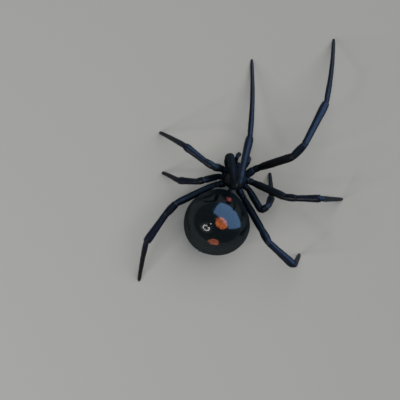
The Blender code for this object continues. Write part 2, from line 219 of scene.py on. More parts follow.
def tube_rings(centres, along, radius, sides):
    """Round rings of the given radius about a line."""
    tops, across = side_arrows(along)
    turn = 2 * np.pi * np.arange(sides) / sides
    up = np.cos(turn)[None, :, None] * tops[:, None, :]
    side = np.sin(turn)[None, :, None] * across[:, None, :]
    return centres[:, None, :] + (up + side) * np.asarray(radius)[:, None, None]


def smooth_through(shares, knots):
    """Smooth curve through knots of share and value, read at other shares."""
    places, values = np.array(knots, float).T
    slopes = np.gradient(values, places)
    k = np.clip(np.searchsorted(places, shares, side="right") - 1, 0, len(places) - 2)
    width = places[k + 1] - places[k]
    t = np.clip((shares - places[k]) / width, 0, 1)
    rest = 1 - t
    return ((1 + 2 * t) * rest ** 2 * values[k] + t * rest ** 2 * width * slopes[k]
            + t ** 2 * (3 - 2 * t) * values[k + 1] - t ** 2 * rest * width * slopes[k + 1])


def bump_at(values, centre, width):
    """A soft bump of height 1 round a centre, which fades out over the width."""
    return np.exp(-((values - centre) / width) ** 2)


# %% [markdown]
# ## The eight legs
#
# A spider's leg has seven joints: coxa, trochanter, femur, patella, tibia, metatarsus and
# tarsus. She holds her femora up and her tibiae down, and the drawn-up left foreleg folds
# back over her and then forward again. The numbers are the CAD model's own: lengths,
# widths and the heading and rise of each joint. Lengths, headings and rises beyond the hips
# were fitted to the places of the joints in the photograph, and rounded. Only the foot's
# rise is worked out, from the height that is left above the floor. Between two joints the
# line bends on a small arc.

# %% The stance
# Length of coxa, trochanter, femur, patella, tibia, and metatarsus with tarsus.
LEG_LENGTHS = {1: (1.45, 0.75, 6.3, 2.0, 6.05, 10.4), 2: (0.95, 0.45, 4.8, 1.45, 3.1, 7.3),
               3: (0.85, 0.40, 3.65, 1.2, 2.8, 4.1), 4: (0.95, 0.45, 5.5, 1.85, 4.1, 6.5)}
LEG_ROOTS = {1: (2.10, 0.95), 2: (1.75, 0.85), 3: (1.17, 0.85), 4: (0.45, 0.78)}
LEG_ROOT_HEIGHT = 2.25
LEG_RADIUS = {1: 0.50, 2: 0.47, 3: 0.42, 4: 0.44}
SHIN_SWELL = {1: 1.0, 2: 1.0, 3: 1.06, 4: 1.15}     # of patella, tibia and foot beyond that radius
FOOT_SWELL = {1: 1.06, 2: 1.16, 3: 1.12, 4: 1.06}   # of the foot beyond that, for its dense coat
FOOT_BOW = {1: 0.20, 2: 0.06, 3: 0.05, 4: 0.06}     # mm that a foot bows to her right at its middle
BEND_RADIUS = 1.15        # of the centre line at a joint, as a share of the leg's own radius
FOOT_SINK = 0.03
# Heading clockwise from straight ahead and rise, coxa to tibia, and the foot's heading.
STANCE = {
    ("left", 1): ((-33, 8), (10, 25), (151, 44), (-4, 3), (-8, -38), -20),
    ("left", 2): ((-80, 6), (-84, 35), (-114, 82), (-81, -11), (-74, -15), -81),
    ("left", 3): ((-101, 6), (-108, 28), (-128, 63), (-124, -35), (-108, -38), -85),
    ("left", 4): ((-115, 0), (-122, 5), (-138, 22), (-158, -3), (-167, -2), 170),
    ("right", 1): ((33, 6), (46, 20), (51, 52), (22, 11), (6, -18), -12),
    ("right", 2): ((86, 4), (92, 15), (93, 30), (74, 26), (69, 21), 69),
    ("right", 3): ((104, 6), (108, 22), (129, 36), (32, 33), (4, -67), -23),
    ("right", 4): ((126, 0), (132, 6), (129, 37), (131, 34), (110, -5), 22),
}
SIDE_SIGN = {"left": -1, "right": 1}


def heading(degrees, rise):
    """Unit arrow in her own coordinates."""
    turn, lift = math.radians(degrees), math.radians(rise)
    return np.array((math.cos(turn) * math.cos(lift), math.sin(turn) * math.cos(lift), math.sin(lift)))


def leg_line(side, number):
    """Points, directions and lengths of a leg's joints, from the body to the floor."""
    *angles, foot_heading = STANCE[side, number]
    lengths = LEG_LENGTHS[number]
    forward, across = LEG_ROOTS[number]
    directions = [heading(*pair) for pair in angles]
    points = [np.array((forward, SIDE_SIGN[side] * across, LEG_ROOT_HEIGHT))]
    for direction, length in zip(directions, lengths):
        points.append(points[-1] + direction * length)
    drop = math.degrees(math.asin((points[-1][2] + FOOT_SINK) / lengths[-1]))
    directions.append(heading(foot_heading, -drop))
    points.append(points[-1] + directions[-1] * lengths[-1])
    return points, directions, lengths


for side, number in STANCE:
    tip = leg_line(side, number)[0][-1]
    print(side, number, "foot at forward, right:", np.round(tip[:2], 2))

# %% [markdown]
# ## Widths of a leg
#
# The cuticle of each joint swells a little beyond its middle and ends in a firm lip. Between
# two lips lies a band of soft folded skin, narrower than either, where the leg bends. The
# metatarsus starts much thinner than the tibia ends, and that step is easy to see on a
# widow. So each joint has its own smooth profile, and near both ends it runs down to the
# band's width within a tenth of a millimetre.

# %% Profiles and bands
# Share of the leg's radius at shares of each joint's length.
PROFILES = (
    ((0.0, 0.55), (0.12, 0.84), (0.45, 0.95), (0.82, 0.94), (1.0, 0.82)),
    ((0.0, 0.82), (0.50, 0.85), (1.0, 0.76)),
    ((0.0, 0.76), (0.12, 0.90), (0.32, 0.97), (0.66, 0.98), (0.90, 0.96), (1.0, 0.84)),
    ((0.0, 0.84), (0.50, 0.95), (1.0, 0.80)),
    ((0.0, 0.80), (0.25, 0.81), (0.60, 0.90), (0.88, 0.96), (1.0, 0.82)),
    ((0.0, 0.56), (0.09, 0.60), (0.38, 0.53), (0.70, 0.46), (0.83, 0.41), (0.95, 0.33), (1.0, 0.20)),
)
COXA, _, _, PATELLA, _, FOOT = range(6)
BAND_WIDTH = 0.15         # half width of the soft band, as a share of the leg's radius
BAND_RADIUS = 0.93        # of the narrower of the two ends that it joins
LIP_HEIGHT = 0.022        # of the lip beside it, as a share of the leg's radius
LIP_PLACE = 2.1           # of the lip's middle from the joint's end, in half widths of the band
TARSUS_START = 0.70       # share of the foot at which the metatarsus ends and the tarsus starts
ANKLE_WIDTH, ANKLE_DEPTH, ANKLE_SOFTNESS = 0.06, 0.14, 0.7     # mm, share of the width, softness
STATION_STEP = 0.15       # mm between rings along a joint
BAND_STEP = 0.035         # mm between rings near its ends
FINE_REACH, FINE_SHARE = 0.36, 0.3     # mm of fine rings at each end, and at most this share of a joint
LEG_SIDES = 24
# At the start and end of each joint, coxa to foot. Tone 0 is the blackest cuticle, 1 the brown tip; the tones
# of patella and tibia pick a navy that is painted sheen.
TONES = ((0.12, 0.10), (0.10, 0.06), (0.0, 0.10), (0.26, 0.32), (0.34, 0.48), (0.52, 1.0))
COATS = ((0.20, 0.30), (0.30, 0.30), (0.40, 0.55), (0.65, 0.70), (0.75, 0.85), (0.95, 1.6))
PILES = ((0.40, 0.50), (0.50, 0.50), (0.65, 0.85), (0.85, 0.90), (0.95, 1.0), (1.0, 0.65))


def stations_on(length):
    """Distances of rings along one joint: fine near both ends, wider apart between."""
    fine = min(FINE_REACH, length * FINE_SHARE)
    near = np.arange(0, fine, BAND_STEP)
    middle = np.linspace(fine, length - fine, max(2, round((length - 2 * fine) / STATION_STEP) + 1))
    return np.concatenate([near, middle, length - near[::-1]])


class Bend:
    """Arc between two joints of a leg."""

    def __init__(self, point, before, after, radius):
        self.angle = math.acos(float(np.clip(before @ after, -1, 1)))
        self.axis = unit(np.cross(before, after))
        self.before = before
        self.reach = radius * math.tan(self.angle / 2)
        self.length = radius * self.angle
        self.centre = point + unit(after - before) * radius / math.cos(self.angle / 2)
        self.entry = point - before * self.reach - self.centre

    def at(self, share):
        """Place and direction at a share of the arc."""
        turn = self.angle * share
        return self.centre + rotated(self.entry, self.axis, turn), rotated(self.before, self.axis, turn)


def leg_stations(side, number):
    """Centres, directions, radii, joint number, share of the joint and softness of every ring."""
    points, directions, lengths = leg_line(side, number)
    thigh = LEG_RADIUS[number]
    shin = thigh * SHIN_SWELL[number]
    radii = [thigh] * PATELLA + [shin, shin, shin * FOOT_SWELL[number]]
    ends = [(profile[0][1] * radius, profile[-1][1] * radius) for profile, radius in zip(PROFILES, radii)]
    foot_side = np.array((-directions[FOOT][1], directions[FOOT][0], 0))
    bends = []
    for k in range(FOOT):
        width = max(ends[k][1], ends[k + 1][0]) * BEND_RADIUS
        bends.append(Bend(points[k + 1], directions[k], directions[k + 1], width))
    rows = []
    for k, (length, radius) in enumerate(zip(lengths, radii)):
        entry = bends[k - 1] if k > COXA else None
        leave = bends[k] if k < FOOT else None
        before = (entry.length / 2, entry.reach) if entry else (0.0, 0.0)
        after = (leave.length / 2, leave.reach) if leave else (0.0, 0.0)
        straight = length - before[1] - after[1]
        total = before[0] + straight + after[0]
        distances = stations_on(total)
        for distance in distances[:-1] if leave else distances:
            if distance < before[0]:
                centre, along = entry.at(0.5 + distance / entry.length)
                share = before[1] * distance / before[0] / length
            elif distance > total - after[0]:
                past = distance - (total - after[0])
                centre, along = leave.at(past / leave.length)
                share = (length - after[1] + after[1] * past / after[0]) / length
            else:
                share = (before[1] + distance - before[0]) / length
                centre, along = points[k] + directions[k] * share * length, directions[k]
            width = float(smooth_through(share, PROFILES[k])) * radius
            soft = 0.0
            for gap, k_before, k_after in ((distance, k - 1, k), (total - distance, k, k + 1)):
                if k_before < COXA or k_after > FOOT:
                    continue
                band = min(ends[k_before][1], ends[k_after][0]) * BAND_RADIUS
                soft_here = float(bump_at(gap, 0, BAND_WIDTH * radius))
                width += (band - width) * soft_here
                lip = float(bump_at(gap, LIP_PLACE * BAND_WIDTH * radius, BAND_WIDTH * radius))
                width += LIP_HEIGHT * radius * lip
                soft = max(soft, soft_here)
            if k == FOOT:
                centre = centre + foot_side * FOOT_BOW[number] * math.sin(math.pi * share)
                ankle = float(bump_at(share * length, TARSUS_START * length, ANKLE_WIDTH))
                width *= 1 - ANKLE_DEPTH * ankle
                soft = max(soft, ANKLE_SOFTNESS * ankle)
            rows.append((*centre, *along, width, k, share, soft))
    rows = np.array(rows)
    return rows[:, 0:3], rows[:, 3:6], rows[:, 6], rows[:, 7].astype(int), rows[:, 8], rows[:, 9]


# %% Loft the legs
TIP_TRIM = 0.012          # share of the foot that the claws stand for
FLOOR_CLEAR = 0.004       # mm between the foot's skin and the floor
TIP_TAPER = (0.90, 0.72)  # of the last two rings
leg_tips = {}


def along_joint(table, joint, share):
    """A number that runs from its start to its end along each joint."""
    low, high = np.array(table)[joint].T
    return low + (high - low) * share


for side, number in STANCE:
    stations = leg_stations(side, number)
    _, _, _, joint, share, _ = stations
    keep = (joint < FOOT) | (share < 1 - TIP_TRIM)
    centres, along, radius, joint, share, soft = (row[keep] for row in stations)
    radius[-2:] *= TIP_TAPER
    rings = tube_rings(centres, along, radius, LEG_SIDES)
    rings[..., 2] = np.maximum(rings[..., 2], FLOOR_CLEAR)
    tip = centres[-1] + along[-1] * radius[-1] * 0.5
    tip[2] = max(tip[2], FLOOR_CLEAR)
    make_shell(f"leg_{side}_{number}", rings, centres[0] - along[0] * radius[0] * 0.3, tip, "leg_cuticle",
               f"{side}_legs", tone=along_joint(TONES, joint, share), soft=soft,
               coat=along_joint(COATS, joint, share) * (1 - soft), pile=along_joint(PILES, joint, share))
    leg_tips[side, number] = centres[-1], along[-1]
print("legs:", sum(len(shell.data.polygons) for shell in shells), "faces")

# %% [markdown]
# ## Carapace and breastplate
#
# The front half of a spider is one firm capsule. From above it is a shield: a broad thorax
# that blends into a narrow head, with a pit in its back where the stomach's muscles hold,
# grooves that run from the pit to the legs, and a fine rim. Below lies a flat heart-shaped
# breastplate. The shape follows two ellipses, one for the thorax and one for the head,
# blended with a rounded passage, so it is lofted from rings, and the relief is added to
# the heights of the points.

# %% Shape of the cephalothorax
BODY_REAR, BODY_FRONT = 0.15, 3.42
THORAX_CENTRE, THORAX_LENGTH, THORAX_WIDTH = 1.38, 2.60, 2.80
HEAD_CENTRE, HEAD_LENGTH, HEAD_WIDTH = 2.35, 2.20, 1.42
OUTLINE_BLEND, DOME_BLEND = 0.16, 0.30
RIM_HEIGHT = 2.86
THORAX_DOME, HEAD_DOME = 0.66, 1.00
BREAST_HEIGHT, CHIN_HEIGHT = 1.78, 2.18
PIT_FORWARD, PIT_DEPTH, PIT_SIZE, PIT_NARROWNESS = 1.20, 0.20, 0.26, 0.6
UNDERSIDE = ((0.0, 1.0), (0.12, 0.97), (0.36, 0.86), (0.64, 0.71), (0.87, 0.51), (0.97, 0.27), (1.0, 0.0))
BODY_RINGS, BODY_SIDES = 120, 112
GROOVE_ANGLES = (24, 62, 100, 140)     # degrees from straight ahead, seen from the pit
GROOVE_DEPTH, GROOVE_WIDTH = 0.045, 0.085
GROOVE_START, GROOVE_END = 0.15, 1.55     # mm from the pit
GROOVE_FADE_IN, GROOVE_FADE_OUT = 0.25, 0.4
RIM_SWELL, RIM_WIDTH = 0.02, 0.12


def ellipse(position, centre, length):
    """Height of an ellipse of half height 1 above its long axis, 0 outside it."""
    return np.sqrt(np.maximum(0, 1 - ((position - centre) / (length / 2)) ** 2))


def blend(a, b, softness):
    """The larger of two values, with a rounded passage between them."""
    return (a + b + np.sqrt((a - b) ** 2 + softness ** 2)) / 2


def body_relief(forward, across):
    """Depth of the pit and of the grooves at places of the shield."""
    away = np.hypot(forward - PIT_FORWARD, across)
    ahead, beside = (forward - PIT_FORWARD) / PIT_SIZE, across / (PIT_SIZE * PIT_NARROWNESS)
    depth = PIT_DEPTH * np.exp(-ahead ** 2 - beside ** 2)
    turn = np.degrees(np.arctan2(np.abs(across), forward - PIT_FORWARD))
    ring = np.clip((away - GROOVE_START) / GROOVE_FADE_IN, 0, 1)
    ring = ring * np.clip((GROOVE_END - away) / GROOVE_FADE_OUT, 0, 1)
    for angle in GROOVE_ANGLES:
        beside = away * np.sin(np.radians(np.clip(turn - angle, -80, 80)))
        depth = depth + GROOVE_DEPTH * ring * bump_at(beside, 0, GROOVE_WIDTH)
    return depth


def body_rings():
    """Rings of the cephalothorax from its rear to its brow."""
    share = 0.5 - 0.5 * np.cos(np.pi * (np.arange(BODY_RINGS) + 0.5) / BODY_RINGS)
    position = BODY_REAR + (BODY_FRONT - BODY_REAR) * share
    thorax = ellipse(position, THORAX_CENTRE, THORAX_LENGTH)
    head = ellipse(position, HEAD_CENTRE, HEAD_LENGTH)
    fade = np.minimum(1, 4 * np.minimum(thorax + head, 1) ** 2)
    half_width = blend(thorax * THORAX_WIDTH / 2, head * HEAD_WIDTH / 2, OUTLINE_BLEND * fade)
    dome = blend(thorax * THORAX_DOME, head * HEAD_DOME, DOME_BLEND * fade)
    low = BREAST_HEIGHT + (CHIN_HEIGHT - BREAST_HEIGHT) * share ** 2
    depth = (RIM_HEIGHT - low) * np.maximum(thorax, head) ** 0.6
    turn = 2 * np.pi * (np.arange(BODY_SIDES) + 0.5) / BODY_SIDES
    above = turn < np.pi
    knots = np.array(UNDERSIDE)
    below = np.clip(1 - np.abs(turn - 1.5 * np.pi) / (np.pi / 2), 0, 1)
    steps = np.linspace(0, 1, len(knots))
    down = np.where(above, 0, np.interp(below, steps, knots[:, 0]))
    wide = np.where(above, np.cos(turn), np.interp(below, steps, knots[:, 1]) * np.sign(np.cos(turn)))
    across = half_width[:, None] * wide
    forward = np.repeat(position[:, None], BODY_SIDES, axis=1)
    arch = np.where(above, np.abs(np.sin(turn)), 0)
    up = RIM_HEIGHT + dome[:, None] * arch ** 0.85 - depth[:, None] * down
    up = up - body_relief(forward, across) * arch ** 0.5
    rim = bump_at(np.minimum(turn, np.abs(turn - np.pi)), 0, RIM_WIDTH)
    return np.stack([forward, across * (1 + RIM_SWELL * rim), up], axis=-1)


# %% Loft the cephalothorax
rings = body_rings()
make_shell("cephalothorax", rings, rings[0].mean(axis=0), rings[-1].mean(axis=0), "carapace_cuticle", "front",
           coat=0.35, pile=0.8)
print("carapace:", len(shells[-1].data.polygons), "faces")

# %% [markdown]
# ## Abdomen, waist and spinnerets
#
# The abdomen is a soft bag under pressure, nearly a ball, its top leaning to her right. Its
# skin is glossy and almost even. Six small dents mark where muscles pull it in, and below
# there is a furrow, the covers of the book lungs and a knob. A sphere would be too plain:
# this egg has a drawn-in shoulder, a belly flatter than its back, and a slow unevenness.

# %% Shape of the abdomen
ABDOMEN_CENTRE, ABDOMEN_SIDE = -4.26, -0.05
ABDOMEN_HALF_LENGTH, ABDOMEN_HALF_WIDTH = 4.03, 3.97
ABDOMEN_SHOULDER = 0.17
ABDOMEN_AXIS_HEIGHT, ABDOMEN_TOP, ABDOMEN_BOTTOM = 3.40, 9.05, 0.95
ABDOMEN_ROLL = math.radians(8.0)
ABDOMEN_RINGS, ABDOMEN_SIDES = 150, 180
# Dents and swellings: share of the length, degrees round from the back, size and height in mm.
ABDOMEN_PAIRS = ((0.36, 15, 0.17, -0.05), (0.54, 19, 0.17, -0.05), (0.68, 16, 0.12, -0.03),
                 (0.20, 152, 0.42, 0.05))
BELLY_KNOB = (0.23, 180, 0.22, 0.12)
UNEVENNESS = 0.02         # mm
FURROW_FORWARD, FURROW_DEPTH, FURROW_WIDTH = -1.95, 0.05, 0.09


def abdomen_point(angle, around):
    """Point at angle from the waist and around from her right, in radians, as rows."""
    up_reach = ABDOMEN_TOP - ABDOMEN_AXIS_HEIGHT
    down_reach = ABDOMEN_AXIS_HEIGHT - ABDOMEN_BOTTOM
    lift, half_height = (up_reach - down_reach) / 2, (up_reach + down_reach) / 2
    forward = ABDOMEN_CENTRE + ABDOMEN_HALF_LENGTH * np.cos(angle) + 0 * around
    shoulder = 1 - ABDOMEN_SHOULDER * np.maximum(0, np.cos(angle)) ** 2
    right = ABDOMEN_HALF_WIDTH * np.sin(angle) * shoulder * np.cos(around)
    up = np.sin(angle) * (lift + half_height * np.sin(around)) - lift
    turned_right = right * math.cos(ABDOMEN_ROLL) + up * math.sin(ABDOMEN_ROLL)
    turned_up = up * math.cos(ABDOMEN_ROLL) - right * math.sin(ABDOMEN_ROLL)
    return np.stack([forward, ABDOMEN_SIDE + turned_right, ABDOMEN_AXIS_HEIGHT + lift + turned_up], axis=-1)


def abdomen_place(share, degrees):
    """Point at a share of the abdomen's length, degrees to the right of the middle of its back."""
    return abdomen_point(np.array(share * math.pi), np.array(math.radians(90 - degrees)))


angle = np.pi * np.arange(1, ABDOMEN_RINGS)[:, None] / ABDOMEN_RINGS
around = 2 * np.pi * np.arange(ABDOMEN_SIDES)[None, :] / ABDOMEN_SIDES
rings = abdomen_point(angle, around)
middle = np.array((ABDOMEN_CENTRE, ABDOMEN_SIDE, (ABDOMEN_TOP + ABDOMEN_BOTTOM) / 2))
outward = unit(rings - middle)
relief = UNEVENNESS * np.sin(3 * angle + 1.3 * np.sin(2 * around)) * np.sin(angle) * np.sin(2 * around + 0.7)
marks = [(share, sign * degrees, *rest) for share, degrees, *rest in ABDOMEN_PAIRS for sign in (1, -1)]
for share, degrees, size, height in marks + [BELLY_KNOB]:
    away = np.linalg.norm(rings - abdomen_place(share, degrees), axis=-1)
    relief = relief + height * bump_at(away, 0, size)
belly = np.clip(-np.sin(around), 0, 1) ** 2
relief = relief - FURROW_DEPTH * belly * bump_at(rings[..., 0], FURROW_FORWARD, FURROW_WIDTH)
rings = rings + outward * relief[..., None]
make_shell("abdomen", rings, abdomen_place(0, 0), abdomen_place(1, 0), "abdomen_cuticle", "abdomen", coat=1.0)
print("abdomen:", len(shells[-1].data.polygons), "faces")

# %% [markdown]
# The waist is a short stalk. At the other end three pairs of spinnerets close like the
# petals of a bud, each of them two-jointed and blunt, with a small cone behind them. All
# of these are tubes again, so one helper takes a few knots and draws a smooth line through
# them.

# %% Helper: a smooth tube through knots


def knot_tube(name, knots, steps, sides, finish, region, start=0.4, end=0.5, groove=None, **marks):
    """Closed tube through knots of forward, right, up and radius. Marks are functions of the share."""
    knots = np.array(knots, float)
    gaps = np.linalg.norm(np.diff(knots[:, :3], axis=0), axis=1)
    places = np.r_[0, np.cumsum(gaps)] / gaps.sum()
    share = np.linspace(0, 1, steps)
    lines = [smooth_through(share, list(zip(places, knots[:, k]))) for k in range(4)]
    centres, radius = np.stack(lines[:3], axis=-1), lines[3]
    if groove:
        radius = radius * (1 - groove(share))
    along = unit(np.gradient(centres, axis=0))
    rings = tube_rings(centres, along, radius, sides)
    marks = {key: mark(share) if callable(mark) else mark for key, mark in marks.items()}
    first = centres[0] - along[0] * radius[0] * start
    last = centres[-1] + along[-1] * radius[-1] * end
    make_shell(name, rings, first, last, finish, region, **marks)


# %% Waist and spinnerets
SPINNERET_ANGLE, SPINNERET_LEAN = math.radians(148.0), 38.0
# Along the cone from front to rear, across, reach and radius, in mm.
SPINNERETS = ((0.26, 0.22, 0.80, 0.17), (-0.24, 0.20, 0.72, 0.15), (0.02, 0.13, 0.55, 0.10))
# Share of the reach and of the radius, with the step between the two joints of each.
SPINNERET_JOINTS = ((0.0, 1.0), (0.55, 1.0), (0.70, 0.92), (0.74, 0.78), (0.84, 0.82), (0.96, 0.60),
                    (1.0, 0.40))
SPINNERET_SINK = 0.35
# Reach and radius in mm of the mound that bears them, and of the cone behind them.
MOUND = ((0, 0.50), (0.35, 0.52), (0.60, 0.44), (0.66, 0.30))
VENT_CONE = ((-0.30, 0.20), (0.10, 0.19), (0.30, 0.15), (0.42, 0.08))
WAIST_LINE = ((0.40, 0, 2.74, 0.30), (-0.05, 0, 2.74, 0.25), (-0.35, 0, 2.74, 0.25), (-0.80, 0, 2.80, 0.34))
knot_tube("waist", WAIST_LINE, 14, 24, "leg_cuticle", "front", tone=0.6)
base = abdomen_point(np.array(SPINNERET_ANGLE), np.array(-np.pi / 2))
axis = heading(180, -90 + SPINNERET_LEAN)
back = unit(np.cross(axis, (0, 1, 0)))
back = back * np.sign(back @ np.array((-1.0, 0, 0)))
start = base - axis * SPINNERET_SINK
knot_tube("spinneret_mound", [(*(start + axis * reach), width) for reach, width in MOUND],
          14, 32, "abdomen_cuticle", "abdomen", coat=0.8)
for along, across, reach, width in SPINNERETS:
    for sign in (-1, 1):
        foot = start - back * along + np.array((0, sign * across, 0))
        lean = unit(axis + np.array((0, sign * 0.10, 0)) - back * along * 0.4)
        knots = [(*(foot + lean * (reach + SPINNERET_SINK) * share), width * part)
                 for share, part in SPINNERET_JOINTS]
        knot_tube("spinneret", knots, 22, 20, "leg_cuticle", "abdomen", tone=lambda s: 0.45 + 0.5 * s,
                  coat=lambda s: 1.0 * (s > 0.5), pile=0.7)
vent = [(*(start + back * 0.50 + axis * (reach + SPINNERET_SINK)), width) for reach, width in VENT_CONE]
knot_tube("vent_cone", vent, 14, 20, "leg_cuticle", "abdomen", tone=0.5, coat=1.0, pile=0.6)
print("spinnerets:", len(SPINNERETS) * 2)

# %% [markdown]
# ## Jaws, palps and mouthparts
#
# Two chelicerae hang straight down below the brow, each with a short fang that folds
# inwards. Beside them are the palps, like short legs without a metatarsus, held forward
# and bent down to feel the ground. Between their bases lie the flat maxillae and the lip.

# %% Jaws, palps and mouthparts
JAW_LINE = ((2.80, 0.31, 2.90, 0.19), (3.08, 0.32, 2.40, 0.20), (3.22, 0.32, 1.95, 0.20),
            (3.28, 0.30, 1.55, 0.17), (3.27, 0.28, 1.38, 0.10))
PALP_LINE = ((2.80, 0.46, 2.35, 0.19), (3.10, 0.61, 2.46, 0.20), (3.50, 0.70, 2.66, 0.22),
             (3.90, 0.74, 2.84, 0.22), (4.18, 0.73, 2.68, 0.24), (4.32, 0.70, 2.28, 0.23),
             (4.38, 0.63, 1.85, 0.24), (4.36, 0.54, 1.40, 0.20), (4.28, 0.44, 1.08, 0.09))
MAXILLA_LINE = ((2.45, 0.42, 2.05, 0.10), (2.66, 0.36, 1.94, 0.17), (2.90, 0.26, 1.86, 0.18),
                (3.08, 0.17, 1.84, 0.10))
LIP_LINE = ((2.40, 0.0, 2.06, 0.10), (2.60, 0.0, 1.93, 0.18), (2.78, 0.0, 1.86, 0.15),
            (2.88, 0.0, 1.84, 0.06))
PALP_JOINTS = (0.16, 0.42, 0.555, 0.70)
PALP_GROOVE = 0.08


def mirrored(line, sign):
    return [(forward, sign * across, up, radius) for forward, across, up, radius in line]


def palp_bands(share):
    return sum(bump_at(share, joint, 0.012) for joint in PALP_JOINTS)


for side, sign in SIDE_SIGN.items():
    knot_tube(f"jaw_{side}", mirrored(JAW_LINE, sign), 40, 28, "jaw_cuticle", "front",
              tone=lambda s: 0.2 + 0.6 * s, coat=lambda s: 0.8 * (s > 0.3), pile=0.7)
    knot_tube(f"palp_{side}", mirrored(PALP_LINE, sign), 130, 24, "leg_cuticle", f"{side}_legs",
              groove=lambda s: PALP_GROOVE * palp_bands(s), tone=lambda s: 0.2 + 0.7 * s ** 2,
              soft=palp_bands, coat=lambda s: 1.0 * (s > 0.1) * (1 - palp_bands(s)), pile=0.9)
    knot_tube(f"maxilla_{side}", mirrored(MAXILLA_LINE, sign), 24, 20, "jaw_cuticle", "front", tone=0.3,
              coat=0.3, pile=0.5)
knot_tube("lip", LIP_LINE, 20, 20, "jaw_cuticle", "front", tone=0.3)
print("shells:", len(shells), "with", sum(len(shell.data.polygons) for shell in shells), "faces")

# %% [markdown]
# ## One skin
#
# Seen close, a real spider's hips grow out of her body without a slit. The capsules could
# be left pushed into each other, but hidden walls would stay inside. A Boolean union joins
# them into one closed skin. The Manifold solver is quick and keeps the numbers on the
# points. Only points on the new creases come out empty, and they are filled from their
# neighbours.

# %% Join the capsules into one skin
group = bpy.data.collections.new("capsules")
for shell in shells[1:]:
    group.objects.link(shell)
union = shells[0].modifiers.new("union", "BOOLEAN")
union.operation, union.operand_type, union.solver = "UNION", "COLLECTION", "MANIFOLD"
union.collection = group
skin_data = bpy.data.meshes.new_from_object(shells[0].evaluated_get(bpy.context.evaluated_depsgraph_get()))
skin_data.name = "cuticle"
skin = add_object("cuticle", skin_data)
bpy.data.collections.remove(group)
for shell in shells:
    bpy.data.objects.remove(shell)
shells.clear()


def fill_empty_points(data, keys):
    """Gives points on the new creases the mean of their neighbours' numbers."""
    pairs = np.zeros(len(data.edges) * 2, np.int32)
    data.edges.foreach_get("vertices", pairs)
    ends = pairs.reshape(-1, 2).T
    known = read_layer(data, "made") > 0.999
    layers = {key: read_layer(data, key) for key in keys}
    print("points on creases:", int((~known).sum()))
    while not known.all():
        count = np.zeros(len(known))
        for a, b in (ends, ends[::-1]):
            np.add.at(count, b, known[a])
        fresh = ~known & (count > 0)
        if not fresh.any():
            break
        for values in layers.values():
            total = np.zeros(len(known))
            for a, b in (ends, ends[::-1]):
                np.add.at(total, b, values[a] * known[a])
            values[fresh] = total[fresh] / count[fresh]
        known = known | fresh
    for key, values in layers.items():
        data.attributes[key].data.foreach_set("value", values)


fill_empty_points(skin_data, (*MARKS, "region", "map_u", "map_v"))
skin_data.shade_smooth()
print("skin:", len(skin_data.vertices), "points,", len(skin_data.polygons), "faces")

# %% [markdown]
# ## Bristles
#
# A widow looks bald from a step away, but she is covered in fine bristles, short and sparse
# on the abdomen, longer and denser down the legs. They soften her outline and take the edge
# off the gloss. Particle hair would be quick, but it isn't mesh. So a Geometry Nodes tree
# scatters points over one region of the skin, sets a slim three-sided cone on each, leans
# it along the way the coat lies, bends it, and makes all of them real mesh. Every bristle
# gets its own small patch of the map, at its root's place on the unrolled capsule.

# %% Helpers: nodes


def add_node(tree, kind, feeds=None, **settings):
    """A node with its settings, each socket fed by another socket or by a plain value."""
    node = tree.nodes.new(kind)
    for key, value in settings.items():
        setattr(node, key, value)
    for key, value in (feeds or {}).items():
        if isinstance(value, bpy.types.NodeSocket):
            tree.links.new(value, node.inputs[key])
        else:
            node.inputs[key].default_value = value
    return node


def maths(tree, operation, *values, **settings):
    node = add_node(tree, "ShaderNodeMath", dict(enumerate(values)), operation=operation, **settings)
    return node.outputs[0]


def scaled(tree, vector, factor):
    return add_node(tree, "ShaderNodeVectorMath", {0: vector, "Scale": factor}, operation="SCALE").outputs[0]


def added(tree, *vectors):
    total = vectors[0]
    for vector in vectors[1:]:
        total = add_node(tree, "ShaderNodeVectorMath", {0: total, 1: vector}, operation="ADD").outputs[0]
    return total


def new_tree(name, kind, inputs, outputs):
    """A node group with named sockets, with its input and output nodes."""
    tree = bpy.data.node_groups.new(name, kind)
    for in_out, sockets in (("INPUT", inputs), ("OUTPUT", outputs)):
        for label, socket in sockets.items():
            tree.interface.new_socket(label, in_out=in_out, socket_type="NodeSocket" + socket)
    return tree, tree.nodes.new("NodeGroupInput").outputs, tree.nodes.new("NodeGroupOutput").inputs


# %% The tree that grows bristles
PATCH = 0.003             # width of a bristle's patch on the map
ROOT_SINK = 0.08          # share of a bristle that stands in the skin
FLOOR_ROOM = 0.55         # share of the height above the floor that a bristle may lean down
FLOOR_SKIN = 0.002 * MM   # height at which the tip of a bristle lies on the floor


def layer_field(tree, key, data_type="FLOAT"):
    return add_node(tree, "GeometryNodeInputNamedAttribute", {"Name": key}, data_type=data_type).outputs[0]


def draw(tree, data_type, low, high, seed):
    """One random number or arrow for each point."""
    first = 0 if data_type == "FLOAT_VECTOR" else 2
    feeds = {first: low, first + 1: high, "Seed": seed}
    node = add_node(tree, "FunctionNodeRandomValue", feeds, data_type=data_type)
    return node.outputs[0 if data_type == "FLOAT_VECTOR" else 1]


